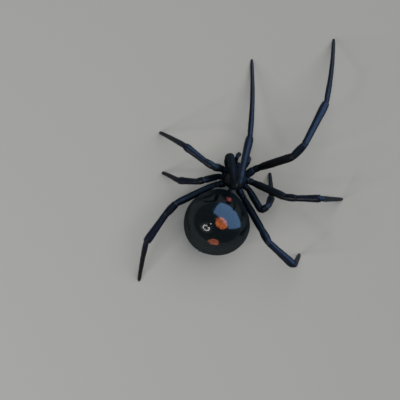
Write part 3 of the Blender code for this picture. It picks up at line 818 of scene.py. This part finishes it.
bristles, given, taken = new_tree(
    "bristles", "GeometryNodeTree",
    {"Skin": "Geometry", "Region": "Int", "Bristles a square metre": "Float", "Length": "Float",
     "Length spread": "Float", "Slenderness": "Float", "Lean": "Float", "Bend": "Float", "Scatter": "Float",
     "Seed": "Int", "Finish": "Material"}, {"Coat": "Geometry"})
region = maths(bristles, "COMPARE", layer_field(bristles, "region"), given["Region"], 0.25)
density = maths(bristles, "MULTIPLY", maths(bristles, "MULTIPLY", region, layer_field(bristles, "coat")),
                given["Bristles a square metre"])
roots = add_node(bristles, "GeometryNodeDistributePointsOnFaces",
                 {0: given["Skin"], 4: density, 6: given["Seed"]})
lie = layer_field(bristles, "lie", "FLOAT_VECTOR")
stray = draw(bristles, "FLOAT_VECTOR", (-1, -1, -1), (1, 1, 1), given["Seed"])
shortest = maths(bristles, "SUBTRACT", 1.0, given["Length spread"])
piled = maths(bristles, "MULTIPLY", given["Length"], layer_field(bristles, "pile"))
length = maths(bristles, "MULTIPLY", piled, draw(bristles, "FLOAT", shortest, 1.0, given["Seed"]))
aim = added(bristles, scaled(bristles, roots.outputs["Normal"], maths(bristles, "COSINE", given["Lean"])),
            scaled(bristles, lie, maths(bristles, "SINE", given["Lean"])),
            scaled(bristles, stray, given["Scatter"]))
here = bristles.nodes.new("GeometryNodeInputPosition").outputs[0]
root_height = add_node(bristles, "ShaderNodeSeparateXYZ", {0: here}).outputs["Z"]
above_floor = maths(bristles, "DIVIDE", root_height, length)
parts = add_node(bristles, "ShaderNodeSeparateXYZ", {0: aim}).outputs
steepest = maths(bristles, "MAXIMUM", parts["Z"], maths(bristles, "MULTIPLY", above_floor, -FLOOR_ROOM))
aim = add_node(bristles, "ShaderNodeCombineXYZ", {"X": parts["X"], "Y": parts["Y"], "Z": steepest}).outputs[0]
stand = add_node(bristles, "FunctionNodeAlignRotationToVector", {2: aim}, axis="Z").outputs[0]
stand = add_node(bristles, "FunctionNodeAlignRotationToVector", {0: stand, 2: lie},
                 axis="X", pivot_axis="Z").outputs[0]

cone = add_node(bristles, "GeometryNodeMeshCone",
                {"Vertices": 3, "Side Segments": 2, "Radius Top": 0.0, "Radius Bottom": given["Slenderness"],
                 "Depth": 1.0}, fill_type="NGON")
patched = add_node(bristles, "GeometryNodeStoreNamedAttribute",
                   {0: cone.outputs["Mesh"], "Name": "patch", "Value": cone.outputs["UV Map"]},
                   data_type="FLOAT2", domain="CORNER")
height = add_node(bristles, "ShaderNodeSeparateXYZ",
                  {0: bristles.nodes.new("GeometryNodeInputPosition").outputs[0]}).outputs["Z"]
over = maths(bristles, "MULTIPLY", maths(bristles, "POWER", height, 2.0), given["Bend"])
shift = add_node(bristles, "ShaderNodeCombineXYZ", {"X": over, "Z": -ROOT_SINK}).outputs[0]
bent = add_node(bristles, "GeometryNodeSetPosition", {"Geometry": patched.outputs[0], "Offset": shift})
smooth = add_node(bristles, "GeometryNodeSetShadeSmooth", {0: bent.outputs[0]})

planted = add_node(bristles, "GeometryNodeInstanceOnPoints",
                   {"Points": roots.outputs["Points"], "Instance": smooth.outputs[0],
                    "Rotation": stand, "Scale": length})
real = add_node(bristles, "GeometryNodeRealizeInstances", {0: planted.outputs[0]})
x, y, z = add_node(bristles, "ShaderNodeSeparateXYZ", {0: here}).outputs
lifted = maths(bristles, "MAXIMUM", z, FLOOR_SKIN)
pressed = add_node(bristles, "ShaderNodeCombineXYZ", {"X": x, "Y": y, "Z": lifted}).outputs[0]
real = add_node(bristles, "GeometryNodeSetPosition", {"Geometry": real.outputs[0], "Position": pressed})
root_place = add_node(bristles, "ShaderNodeCombineXYZ",
                      {"X": layer_field(bristles, "map_u"), "Y": layer_field(bristles, "map_v")}).outputs[0]
patch = scaled(bristles, layer_field(bristles, "patch", "FLOAT_VECTOR"), PATCH)
patch_place = added(bristles, root_place, patch)
mapped = add_node(bristles, "GeometryNodeStoreNamedAttribute",
                  {0: real.outputs[0], "Name": "OFBake", "Value": patch_place},
                  data_type="FLOAT2", domain="CORNER")
dressed = add_node(bristles, "GeometryNodeSetMaterial", {0: mapped.outputs[0], "Material": given["Finish"]})
bristles.links.new(dressed.outputs[0], taken["Coat"])
print("bristle tree:", len(bristles.nodes), "nodes")

# %% Grow the coats
seta_finish = bpy.data.materials.new("bristle_black")
PER_MM2 = 1e6
# Region: slot of the record, bristles a square millimetre, length in mm, slenderness, lean, bend, scatter.
COAT_SIZES = {"left_legs": ("cuticle_navy", 130, 0.30, 0.026, 56, 0.24, 0.20),
              "right_legs": ("cuticle_navy", 130, 0.30, 0.026, 56, 0.24, 0.20),
              "abdomen": ("cuticle_black", 44, 0.20, 0.015, 62, 0.25, 0.22),
              "front": ("cuticle_black", 110, 0.20, 0.030, 52, 0.25, 0.22)}
LENGTH_SPREAD, SEED = 0.50, 7


def grow(tree, name, sizes):
    """Plain mesh that the tree makes of the skin, with inputs set by their names."""
    host = add_object(name, skin_data)
    modifier = host.modifiers.new(name, "NODES")
    modifier.node_group = tree
    for item in tree.interface.items_tree:
        if item.name in sizes:
            modifier[item.identifier] = sizes[item.name]
    data = bpy.data.meshes.new_from_object(host.evaluated_get(bpy.context.evaluated_depsgraph_get()))
    bpy.data.objects.remove(host)
    for key in ("made", "region", "soft", "coat", "pile", "map_u", "map_v", "lie", "patch"):
        if key in data.attributes:
            data.attributes.remove(data.attributes[key])
    data.name = name
    return data


for number, (region, (slot, density, length, slim, lean, bend, scatter)) in enumerate(COAT_SIZES.items()):
    coat_data = grow(bristles, "bristles_" + region, {
        "Region": REGIONS.index(region), "Bristles a square metre": density * PER_MM2, "Length": length * MM,
        "Length spread": LENGTH_SPREAD, "Slenderness": slim, "Lean": math.radians(lean), "Bend": bend,
        "Scatter": scatter, "Seed": SEED + number, "Finish": seta_finish})
    coat = add_object(coat_data.name, coat_data)
    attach(coat, "root")
    triangles = sum(len(face.vertices) - 2 for face in coat_data.polygons)
    print(coat.name, triangles, "triangles, maps:", [layer.name for layer in coat_data.uv_layers])

# %% [markdown]
# The coats have taken their numbers from the skin. The skin itself keeps only its tone and
# its softness, which its finishes read, and it now stands for every solid of the model.

# %% Put the skin on
for key in ("made", "region", "coat", "pile", "map_u", "map_v", "lie"):
    skin_data.attributes.remove(skin_data.attributes[key])
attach(skin, "root")
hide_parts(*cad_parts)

# %% [markdown]
# ## Eyes
#
# Eight eyes sit on the brow in two rows of four. Each is a clear bead in a low collar of
# cuticle. They could be spheres, but a turned outline gives the collar and the bead at once,
# and a number on its points says which is which. A ray tree finds the skin under each eye,
# so that every eye looks straight out of the brow.

# %% Eyes
# Forward, sideways, up and radius of each eye of one side.
EYES = ((3.30, 0.13, 3.50, 0.10), (3.18, 0.40, 3.42, 0.09), (3.02, 0.16, 3.80, 0.09),
        (2.96, 0.47, 3.62, 0.09))
# Outline of an eye as shares of its radius: how far out, how high, and whether it is bead or collar.
EYE_OUTLINE = ((0.60, -0.70, 0), (1.16, -0.45, 0), (1.20, -0.05, 0), (1.14, 0.08, 0), (1.02, 0.12, 0),
               (0.95, 0.12, 1), (0.93, 0.24, 1), (0.83, 0.44, 1), (0.68, 0.60, 1), (0.48, 0.73, 1),
               (0.25, 0.81, 1), (0.08, 0.83, 1))
EYE_SIDES = 24
EYE_BASE, EYE_TOP = 0.75, 0.84     # of its poles below and above the skin, as shares of its radius


def turned(outline, centre, axis, radius):
    """Rings of a turned shape round an axis, in her own coordinates, with their third numbers."""
    side = unit(np.cross(axis, (0.0, 0.0, 1.0)))
    over = np.cross(axis, side)
    turn = 2 * np.pi * np.arange(EYE_SIDES) / EYE_SIDES
    round_it = np.cos(turn)[:, None] * side + np.sin(turn)[:, None] * over
    rings = [centre + (round_it * out + axis * high) * radius for out, high, _ in outline]
    return np.array(rings), np.array([part for _, _, part in outline], float)


def to_her(point):
    """Forward, right and up in millimetres of a place of the model."""
    return np.array(((waist_y - point[1]) / MM, (waist_x - point[0]) / MM, point[2] / MM))


def joined(name, finish):
    """One piece from the capsules made since the last one, each still a closed shell of its own."""
    total = 0
    points, faces, tones = [], [], []
    for shell in shells:
        count = len(shell.data.vertices)
        points += [tuple(vertex.co) for vertex in shell.data.vertices]
        faces += [[total + k for k in face.vertices] for face in shell.data.polygons]
        tones.append(read_layer(shell.data, "tone"))
        total += count
        bpy.data.objects.remove(shell)
    shells.clear()
    data = bpy.data.meshes.new(name)
    data.from_pydata(points, [], faces)
    write_layer(data, "tone", np.concatenate(tones))
    data.materials.append(finish)
    data.shade_smooth()
    piece = add_object(name, data)
    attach(piece, "root")
    print(name, len(data.polygons), "faces")


skin_tree = BVHTree.FromObject(skin, bpy.context.evaluated_depsgraph_get())
for forward, across, up, radius in EYES:
    for sign in (-1, 1):
        place, normal, _, _ = skin_tree.find_nearest(Vector(to_model((forward, sign * across, up))))
        axis = np.array((-normal.y, -normal.x, normal.z))
        centre = to_her(place)
        rings, part = turned(EYE_OUTLINE, centre, axis, radius)
        make_shell("eye", rings, centre - axis * radius * EYE_BASE, centre + axis * radius * EYE_TOP,
                   "jaw_cuticle", "front", tone=part)
eye_finish = bpy.data.materials.new("eye_bead")
joined("eyes", eye_finish)

# %% [markdown]
# ## Fangs and claws
#
# The fangs are short, curved and reddish towards the tip. Every foot ends in three claws,
# two side by side and a smaller one below, with which she holds her threads. They are horn,
# a harder and browner cuticle, so they are pieces of their own, drawn by the same helper.

# %% Fangs and claws
FANG_LINE = ((3.32, 0.32, 1.55, 0.08), (3.34, 0.24, 1.32, 0.07), (3.28, 0.12, 1.22, 0.03))
# Ahead of the foot's end, sideways, height and radius of a side claw and of the middle one, in mm.
SIDE_CLAW = ((-0.05, 0.020, 0.050, 0.022), (0.03, 0.034, 0.072, 0.018), (0.085, 0.042, 0.050, 0.011),
             (0.105, 0.044, 0.012, 0.004))
MIDDLE_CLAW = ((-0.05, 0.0, 0.035, 0.018), (0.02, 0.0, 0.040, 0.013), (0.055, 0.0, 0.026, 0.008),
               (0.062, 0.0, 0.010, 0.003))
for sign in (-1, 1):
    knot_tube("fang", mirrored(FANG_LINE, sign), 18, 14, "jaw_cuticle", "front", tone=lambda s: s)
horn_finish = bpy.data.materials.new("fang_horn")
joined("fangs", horn_finish)

for (side, number), (end, along) in leg_tips.items():
    ahead = unit(np.array((along[0], along[1], 0.0)))
    beside = np.array((-ahead[1], ahead[0], 0.0))
    for claw, sign in ((SIDE_CLAW, -1), (SIDE_CLAW, 1), (MIDDLE_CLAW, 1)):
        knots = []
        for reach, spread, height, radius in claw:
            place = end + ahead * reach + beside * sign * spread
            knots.append((place[0], place[1], height, radius))
        knot_tube("claw", knots, 12, 8, "jaw_cuticle", "front", tone=lambda s: s)
joined("claws", horn_finish)

# %% [markdown]
# Her family are the comb-footed spiders. Below each hind tarsus stands a row of stout,
# curved bristles, with which she combs silk over her prey. There are only a few, all in
# one plane, so they are drawn one by one, each with its root on the foot's underside.

# %% Combs of the hind feet
COMB_START, COMB_END, COMB_BRISTLES = 0.42, 1.70, 11     # mm back from the foot's end
# Along the foot and down from its skin, and radius, of one bristle, in mm.
COMB_BRISTLE = ((0.0, -0.05, 0.013), (0.06, 0.03, 0.012), (0.13, 0.07, 0.008), (0.19, 0.08, 0.003))
COMB_CLEAR = 0.006        # mm above the floor
COMB_DEPTH = 0.92         # of a bristle's root, as a share of the foot's radius there
hind_radius = LEG_RADIUS[4] * SHIN_SWELL[4] * FOOT_SWELL[4]
for side in SIDE_SIGN:
    end, along = leg_tips[side, 4]
    down = unit(along * along[2] - np.array((0.0, 0.0, 1.0)))
    for back_from_end in np.linspace(COMB_START, COMB_END, COMB_BRISTLES):
        width = smooth_through(1 - back_from_end / LEG_LENGTHS[4][FOOT], PROFILES[FOOT]) * hind_radius
        root = end - along * back_from_end + down * width * COMB_DEPTH
        knots = [(*(root + along * reach + down * drop), radius) for reach, drop, radius in COMB_BRISTLE]
        knots = [(x, y, max(height, COMB_CLEAR + radius), radius) for x, y, height, radius in knots]
        knot_tube("comb", knots, 8, 6, "jaw_cuticle", "front", tone=lambda s: 0.5 + 0.5 * s)
joined("hind_combs", horn_finish)

# %% [markdown]
# ## Finishes
#
# Black cuticle is never one black. Its gloss changes from place to place, every bristle
# stands in a tiny pit, and thin places show brown. The same grain is on all of her, so it
# is one node group with its own sizes for each material: it gives blotches for the colour,
# a mask for the gloss and a height for the bump. All of it reads object coordinates, so it
# is fixed to her from every side.

# %% Helpers: shader nodes and the grain of the cuticle


def ranged(tree, value, low, high, to_low=0.0, to_high=1.0):
    feeds = {"Value": value, "From Min": low, "From Max": high, "To Min": to_low, "To Max": to_high}
    return add_node(tree, "ShaderNodeMapRange", feeds, interpolation_type="SMOOTHSTEP").outputs[0]


def mixed(tree, share, first, second):
    """Colour that runs from the first to the second as the share goes from 0 to 1."""
    feeds = {0: share}
    for key, colour in ((6, first), (7, second)):
        feeds[key] = colour if isinstance(colour, bpy.types.NodeSocket) else (*colour, 1.0)
    return add_node(tree, "ShaderNodeMix", feeds, data_type="RGBA").outputs[2]


def noise(tree, place, size, detail=2.0):
    """Noise whose lumps are about size metres across."""
    feeds = {"Vector": place, "Scale": 1 / size, "Detail": detail}
    return add_node(tree, "ShaderNodeTexNoise", feeds).outputs[0]


def object_place(tree):
    return tree.nodes.new("ShaderNodeTexCoord").outputs["Object"]


BUMP_DEPTH = 0.02         # mm between the lowest and the highest of the grain
grain, given, taken = new_tree(
    "cuticle_grain", "ShaderNodeTree", {"Pits a metre": "Float", "Pit share": "Float"},
    {"Blotches": "Float", "Gloss": "Float", "Height": "Float"})
place = object_place(grain)
pits = add_node(grain, "ShaderNodeTexVoronoi", {"Vector": place, "Scale": given["Pits a metre"]})
pits = maths(grain, "MULTIPLY", ranged(grain, pits.outputs["Distance"], 0.05, 0.30), given["Pit share"])
fine = maths(grain, "MULTIPLY", noise(grain, place, 0.05 * MM),
             maths(grain, "SUBTRACT", 1.0, given["Pit share"]))
for label, value in (("Blotches", ranged(grain, noise(grain, place, 0.9 * MM, 4.0), 0.38, 0.64)),
                     ("Gloss", ranged(grain, noise(grain, place, 0.30 * MM, 3.0), 0.30, 0.70)),
                     ("Height", maths(grain, "ADD", pits, fine))):
    grain.links.new(value, taken[label])
print("grain:", len(grain.nodes), "nodes")


def finish(material, colour, roughness, pits, pit_share, bump, rough_mask=None, **values):
    """Gives a material its colour, the gloss between two roughnesses and the grain's bump."""
    material.use_nodes = True
    tree = material.node_tree
    shader = tree.nodes["Principled BSDF"]
    cover = add_node(tree, "ShaderNodeGroup", node_tree=grain)
    cover.inputs["Pits a metre"].default_value = pits / MM
    cover.inputs["Pit share"].default_value = pit_share
    tree.links.new(colour(tree, cover.outputs["Blotches"]), shader.inputs["Base Color"])
    rough = ranged(tree, cover.outputs["Gloss"], 0.0, 1.0, *roughness)
    if rough_mask:
        rough = maths(tree, "ADD", rough, rough_mask(tree), use_clamp=True)
    tree.links.new(rough, shader.inputs["Roughness"])
    relief = add_node(tree, "ShaderNodeBump", {"Height": cover.outputs["Height"], "Strength": bump,
                                               "Distance": BUMP_DEPTH * MM})
    tree.links.new(relief.outputs[0], shader.inputs["Normal"])
    for label, value in values.items():
        shader.inputs[label.replace("_", " ")].default_value = value
    print(material.name, "has", len(tree.nodes), "nodes")


# %% [markdown]
# The marks of a widow lie in the skin, under the gloss. On the back is a row of small
# red and orange spots with ragged edges, and on the belly the hourglass, which warns
# birds. A painted image would need a map. A distance from a middle point, in a space that
# is squeezed to the spot's size and shaken by noise, needs none. The hourglass is two
# such tests: how far along the belly, and how wide it may be there.

# %% Marks of the abdomen
# Share of the abdomen's length, degrees from the back's middle, half sizes across and along in mm, colour.
# The shares and degrees come from a search for the spots' places in the photograph.
SPOTS = ((0.225, -1.0, (0.34, 0.28), (0.50, 0.110, 0.120)), (0.490, -2.0, (0.82, 0.62), (0.62, 0.150, 0.045)),
         (0.690, 0.0, (0.66, 0.42), (0.54, 0.140, 0.075)))
SPOT_TURNS = (0.0, -22.0, 13.0)      # degrees
SPOT_DEPTH = 0.9          # mm above and below the skin that a spot reaches
SPOT_RAGGED = 0.80        # mm that noise shakes a spot's edge
FLECK_SHADE = 0.38        # of a spot's darker flecks
HOURGLASS_SHARE, HOURGLASS_HALF_LENGTH, HOURGLASS_HALF_WIDTH, HOURGLASS_NECK = 0.52, 1.45, 0.95, 0.16

spot_mask, given, taken = new_tree(
    "spot", "ShaderNodeTree",
    {"Middle": "Vector", "Turn": "Vector", "Size": "Vector", "Ragged": "Float"}, {"Mask": "Float"})
place = object_place(spot_mask)
shake = add_node(spot_mask, "ShaderNodeTexNoise", {"Vector": place, "Scale": 1 / (0.28 * MM), "Detail": 5.0,
                                                   "Roughness": 0.65}).outputs["Color"]
shake = scaled(spot_mask, added(spot_mask, shake, (-0.5, -0.5, -0.5)), given["Ragged"])
spot_space = add_node(spot_mask, "ShaderNodeMapping",
                      {"Vector": added(spot_mask, place, shake), "Location": given["Middle"],
                       "Rotation": given["Turn"], "Scale": given["Size"]}, vector_type="TEXTURE")
away = add_node(spot_mask, "ShaderNodeVectorMath", {0: spot_space.outputs[0]}, operation="LENGTH")
spot_mask.links.new(ranged(spot_mask, away.outputs["Value"], 1.08, 0.86), taken["Mask"])


def hourglass(tree):
    """1 inside the hourglass on the belly, 0 elsewhere."""
    middle = to_model(abdomen_place(HOURGLASS_SHARE, 180))
    place = added(tree, object_place(tree), tuple(-middle))
    x, y, z = add_node(tree, "ShaderNodeSeparateXYZ", {0: place}).outputs
    wobble = maths(tree, "SUBTRACT", noise(tree, object_place(tree), 0.3 * MM), 0.5)
    wobble = maths(tree, "MULTIPLY", wobble, 0.3 * MM)
    along = maths(tree, "DIVIDE", maths(tree, "ABSOLUTE", y), HOURGLASS_HALF_LENGTH * MM)
    wide = maths(tree, "MULTIPLY_ADD", maths(tree, "POWER", along, 1.4),
                 (HOURGLASS_HALF_WIDTH - HOURGLASS_NECK) * MM, HOURGLASS_NECK * MM)
    beside = maths(tree, "SUBTRACT", maths(tree, "ADD", maths(tree, "ABSOLUTE", x), wobble), wide)
    inside = maths(tree, "MULTIPLY", ranged(tree, beside, 0.04 * MM, -0.04 * MM),
                   ranged(tree, along, 1.04, 0.94))
    return maths(tree, "MULTIPLY", inside, ranged(tree, z, 1.8 * MM, 1.2 * MM))


def abdomen_colour(tree, blotches):
    colour = mixed(tree, blotches, (0.0030, 0.0055, 0.0075), (0.0065, 0.0075, 0.0065))
    flecks = ranged(tree, noise(tree, object_place(tree), 0.16 * MM, 3.0), 0.36, 0.60)
    for (share, degrees, half, red), turn in zip(SPOTS, SPOT_TURNS):
        mark = add_node(tree, "ShaderNodeGroup", node_tree=spot_mask)
        mark.inputs["Middle"].default_value = to_model(abdomen_place(share, degrees))
        mark.inputs["Turn"].default_value = (0, 0, math.radians(turn))
        mark.inputs["Size"].default_value = (half[0] * MM, half[1] * MM, SPOT_DEPTH * MM)
        mark.inputs["Ragged"].default_value = SPOT_RAGGED * MM
        fleck = tuple(part * FLECK_SHADE for part in red)
        colour = mixed(tree, mark.outputs["Mask"], colour, mixed(tree, flecks, fleck, red))
    red = mixed(tree, flecks, (0.40, 0.014, 0.008), (0.58, 0.026, 0.012))
    return mixed(tree, hourglass(tree), colour, red)


def fade_gloss(material, coat, roughness):
    """Takes the gloss off where the skin turns away from the eye and its bristles overlap."""
    tree = material.node_tree
    shader = tree.nodes["Principled BSDF"]
    facing = add_node(tree, "ShaderNodeLayerWeight", {"Blend": 0.5}).outputs["Facing"]
    tree.links.new(ranged(tree, facing, 0.24, 0.62, *coat), shader.inputs["Coat Weight"])
    rough = shader.inputs["Roughness"].links[0].from_socket
    duller = maths(tree, "ADD", rough, ranged(tree, facing, 0.40, 0.85, *roughness), use_clamp=True)
    tree.links.new(duller, shader.inputs["Roughness"])


finish(finishes["abdomen_cuticle"], abdomen_colour, (0.16, 0.26), 9.0, 0.6, 0.10, Coat_Roughness=0.03,
       Specular_IOR_Level=0.38)
fade_gloss(finishes["abdomen_cuticle"], (0.85, 0.05), (0.0, 0.40))

# %% [markdown]
# The legs run from the blackest femora through a navy on patella and tibia, painted sheen in
# their colour, to brown feet. The tone that rides on the points picks a colour from a ramp,
# shaken a little so that no ring shows, and the soft bands between the joints are paler and duller.

# %% Legs, carapace and jaws
# Tone, and the colour that it picks. The navy at tones 0.32 and 0.50, on patella and tibia, is painted blue
# sheen over black cuticle.
LEG_COLOURS_AND_SHEEN = ((0.00, (0.0035, 0.0040, 0.0048)), (0.22, (0.0050, 0.0055, 0.0075)),
               (0.32, (0.0095, 0.0108, 0.0210)), (0.50, (0.0150, 0.0115, 0.0330)),
               (0.62, (0.0130, 0.0100, 0.0170)), (1.00, (0.0230, 0.0150, 0.0110)))
JAW_COLOURS = ((0.0, (0.006, 0.005, 0.005)), (0.6, (0.016, 0.010, 0.008)), (1.0, (0.050, 0.022, 0.014)))
BRISTLE_COLOURS = ((0.0, (0.004, 0.004, 0.005)), (0.6, (0.010, 0.008, 0.009)), (1.0, (0.030, 0.020, 0.014)))
SOFT_SKIN = (0.020, 0.015, 0.014)


def mark_of(tree, key):
    return add_node(tree, "ShaderNodeAttribute", attribute_name=key).outputs["Fac"]


def ramp(tree, value, colours):
    node = add_node(tree, "ShaderNodeValToRGB", {0: value})
    stops = node.color_ramp.elements
    while len(stops) < len(colours):
        stops.new(1.0)
    for stop, (position, colour) in zip(stops, colours):
        stop.position, stop.color = position, (*colour, 1.0)
    return node.outputs["Color"]


def leg_colour_and_sheen(tree, blotches):
    tone = maths(tree, "ADD", mark_of(tree, "tone"), ranged(tree, blotches, 0.0, 1.0, -0.05, 0.05))
    soft = ranged(tree, mark_of(tree, "soft"), 0.25, 1.0, 0.0, 0.8)
    # The ramp's navy on patella and tibia is painted sheen; the rest is the leg's own colour.
    return mixed(tree, soft, ramp(tree, tone, LEG_COLOURS_AND_SHEEN), SOFT_SKIN)


def dullness(tree):
    """Roughness that soft bands and the blackest joints, hips and femora, have beyond the shins."""
    thigh = ranged(tree, mark_of(tree, "tone"), 0.10, 0.28, 0.16, 0.0)
    return maths(tree, "ADD", maths(tree, "MULTIPLY", mark_of(tree, "soft"), 0.20), thigh)


def carapace_colour(tree, blotches):
    return mixed(tree, blotches, (0.0040, 0.0045, 0.0050), (0.0085, 0.0080, 0.0080))


def jaw_colour(tree, blotches):
    tone = maths(tree, "ADD", mark_of(tree, "tone"), ranged(tree, blotches, 0.0, 1.0, -0.06, 0.06))
    return ramp(tree, tone, JAW_COLOURS)


def bristle_colour(tree, blotches):
    return ramp(tree, mark_of(tree, "tone"), BRISTLE_COLOURS)


finish(finishes["leg_cuticle"], leg_colour_and_sheen, (0.32, 0.44), 11.0, 0.7, 0.22, rough_mask=dullness)
finish(finishes["carapace_cuticle"], carapace_colour, (0.44, 0.58), 10.0, 0.8, 0.30)
finish(finishes["jaw_cuticle"], jaw_colour, (0.30, 0.42), 11.0, 0.6, 0.20)
finish(seta_finish, bristle_colour, (0.42, 0.55), 30.0, 0.0, 0.0)

# %% [markdown]
# An eye is a dark clear bead. Its collar is plain cuticle, and the bead is smoother, with
# a brown glow where the light comes back from inside. Horn is the same stuff as the skin,
# thicker: brown where it starts, nearly black at the tip.

# %% Eyes and horn
HORN_COLOURS = ((0.0, (0.060, 0.020, 0.012)), (0.6, (0.040, 0.012, 0.008)), (1.0, (0.008, 0.005, 0.004)))


def eye_colour(tree, blotches):
    bead = mixed(tree, blotches, (0.010, 0.006, 0.004), (0.026, 0.013, 0.007))
    return mixed(tree, mark_of(tree, "tone"), (0.006, 0.006, 0.006), bead)


def collar(tree):
    return maths(tree, "MULTIPLY", maths(tree, "SUBTRACT", 1.0, mark_of(tree, "tone")), 0.25)


def horn_colour(tree, blotches):
    return ramp(tree, mark_of(tree, "tone"), HORN_COLOURS)


finish(eye_finish, eye_colour, (0.05, 0.09), 20.0, 0.0, 0.0, rough_mask=collar, Coat_Weight=0.6)
finish(horn_finish, horn_colour, (0.20, 0.30), 20.0, 0.3, 0.10)

# %% [markdown]
# ## Studio
#
# She is nearly all reflection, so the lights draw her. A broad blue window to the right of
# the picture puts the bright field on her abdomen and a sheen along her legs, and the ring
# lamp round a macro lens leaves its small white ring. A window of that blue would tint the
# floor as well, so it only shines in reflections, and a sun with a very broad disc gives the
# floor its even, soft light. The floor is plain and pale. Black gloss would mirror it as a
# grey belt round her, so mirrored rays see a darker floor: painted shade in her reflections,
# which stands for the shaded ground under her.

# %% Floor
FLOOR_REACH = 3000.0      # mm
# The second floor colour is painted shade: the darker floor that only her reflections see.
FLOOR_COLOUR, SHADED_MIRRORED_FLOOR = (0.66, 0.645, 0.61), (0.32, 0.36, 0.38)
corner = FLOOR_REACH * MM
floor_data = bpy.data.meshes.new("floor")
corners = [(-corner, -corner, 0), (corner, -corner, 0), (corner, corner, 0), (-corner, corner, 0)]
floor_data.from_pydata(corners, [], [(0, 1, 2, 3)])
floor = add_object("floor", floor_data)
floor_material = bpy.data.materials.new("pale_floor")
floor_material.use_nodes = True
shader = floor_material.node_tree.nodes["Principled BSDF"]
mirrored_ray = add_node(floor_material.node_tree, "ShaderNodeLightPath").outputs["Is Glossy Ray"]
# Painted shade: rays mirrored off her see the darker floor colour, not the lit one.
seen = mixed(floor_material.node_tree, mirrored_ray, FLOOR_COLOUR, SHADED_MIRRORED_FLOOR)
floor_material.node_tree.links.new(seen, shader.inputs["Base Color"])
shader.inputs["Roughness"].default_value = 0.9
shader.inputs["Specular IOR Level"].default_value = 0.0
floor_data.materials.append(floor_material)

# %% Lights
AIM = np.array((ABDOMEN_CENTRE, ABDOMEN_SIDE, 4.0))
# Places are right of her, upward in the frame and above the floor, in mm like the sizes.
WINDOW_PLACE, WINDOW_SIZE, WINDOW_BRIGHTNESS = (86, 64, 74), (290, 176), 7.5
RING_PLACE, RING_RADIUS, RING_LAMPS, RING_WIDTH = (-82, -51, 88), 24.0, 12, 3.0
RING_BRIGHTNESS = 72
SKY, NEUTRAL, WHITE = (0.31, 0.52, 1.0), (1.0, 0.97, 0.93), (1.0, 1.0, 1.0)
ROOM, BACKDROP = (0.081, 0.110, 0.130), (0.36, 0.36, 0.345)
KEY_PLACE, KEY_STRENGTH, KEY_SPREAD = (70, 60, 190), 1.45, 65.0     # the spread in degrees

world = bpy.data.worlds.new("studio")
bpy.context.scene.world = world
world.use_nodes = True
background = world.node_tree.nodes["Background"]
camera_ray = add_node(world.node_tree, "ShaderNodeLightPath").outputs["Is Camera Ray"]
world.node_tree.links.new(mixed(world.node_tree, camera_ray, ROOM, BACKDROP), background.inputs["Color"])
background.inputs["Strength"].default_value = 1.0


def in_picture(right, upward, height):
    """Her own coordinates of a place that lies right and upward of her abdomen in the frame."""
    turn = math.radians(FRAME_TURN)
    return np.array((ABDOMEN_CENTRE + right * math.sin(turn) + upward * math.cos(turn),
                     ABDOMEN_SIDE + right * math.cos(turn) - upward * math.sin(turn), height))


def soft_light(name, place, size, brightness, colour, upright=(0.0, 0.0, 1.0)):
    """A soft lamp turned to her: place in her own coordinates, size in mm, watts a square metre."""
    lamp = bpy.data.lights.new(name, "AREA")
    lamp.shape, lamp.size, lamp.size_y = "RECTANGLE", size[0] * MM, size[1] * MM
    lamp.energy, lamp.color = brightness * lamp.size * lamp.size_y, colour
    holder = add_object(name, lamp)
    middle = to_model(place)
    out = unit(middle - to_model(AIM))
    across = unit(np.cross(to_model(place + np.array(upright)) - middle, out))
    turn = np.eye(4)
    turn[:3, :] = np.stack([across, np.cross(out, across), out, middle], axis=1)
    holder.matrix_world = Matrix(turn.tolist())
    holder.visible_camera = False
    return holder


window = soft_light("window", in_picture(*WINDOW_PLACE), WINDOW_SIZE, WINDOW_BRIGHTNESS, SKY)
window.visible_diffuse = False
key_light = bpy.data.lights.new("key", "SUN")
key_light.energy, key_light.angle, key_light.color = KEY_STRENGTH, math.radians(KEY_SPREAD), NEUTRAL
key = add_object("key", key_light)
towards_her = Vector(to_model(AIM) - to_model(in_picture(*KEY_PLACE)))
key.rotation_euler = towards_her.to_track_quat("-Z", "Y").to_euler()
key.visible_glossy = False
ring_middle = in_picture(*RING_PLACE)
ring_axis = unit(ring_middle - AIM)
ring_side = unit(np.cross(ring_axis, (0.0, 0.0, 1.0)))
ring_length = 2 * math.pi * RING_RADIUS / RING_LAMPS
for k in range(RING_LAMPS):
    spoke = rotated(ring_side, ring_axis, 2 * math.pi * k / RING_LAMPS)
    soft_light(f"ring_{k}", ring_middle + spoke * RING_RADIUS, (ring_length, RING_WIDTH),
               RING_BRIGHTNESS, WHITE, spoke)
print("lamps:", 2 + RING_LAMPS)
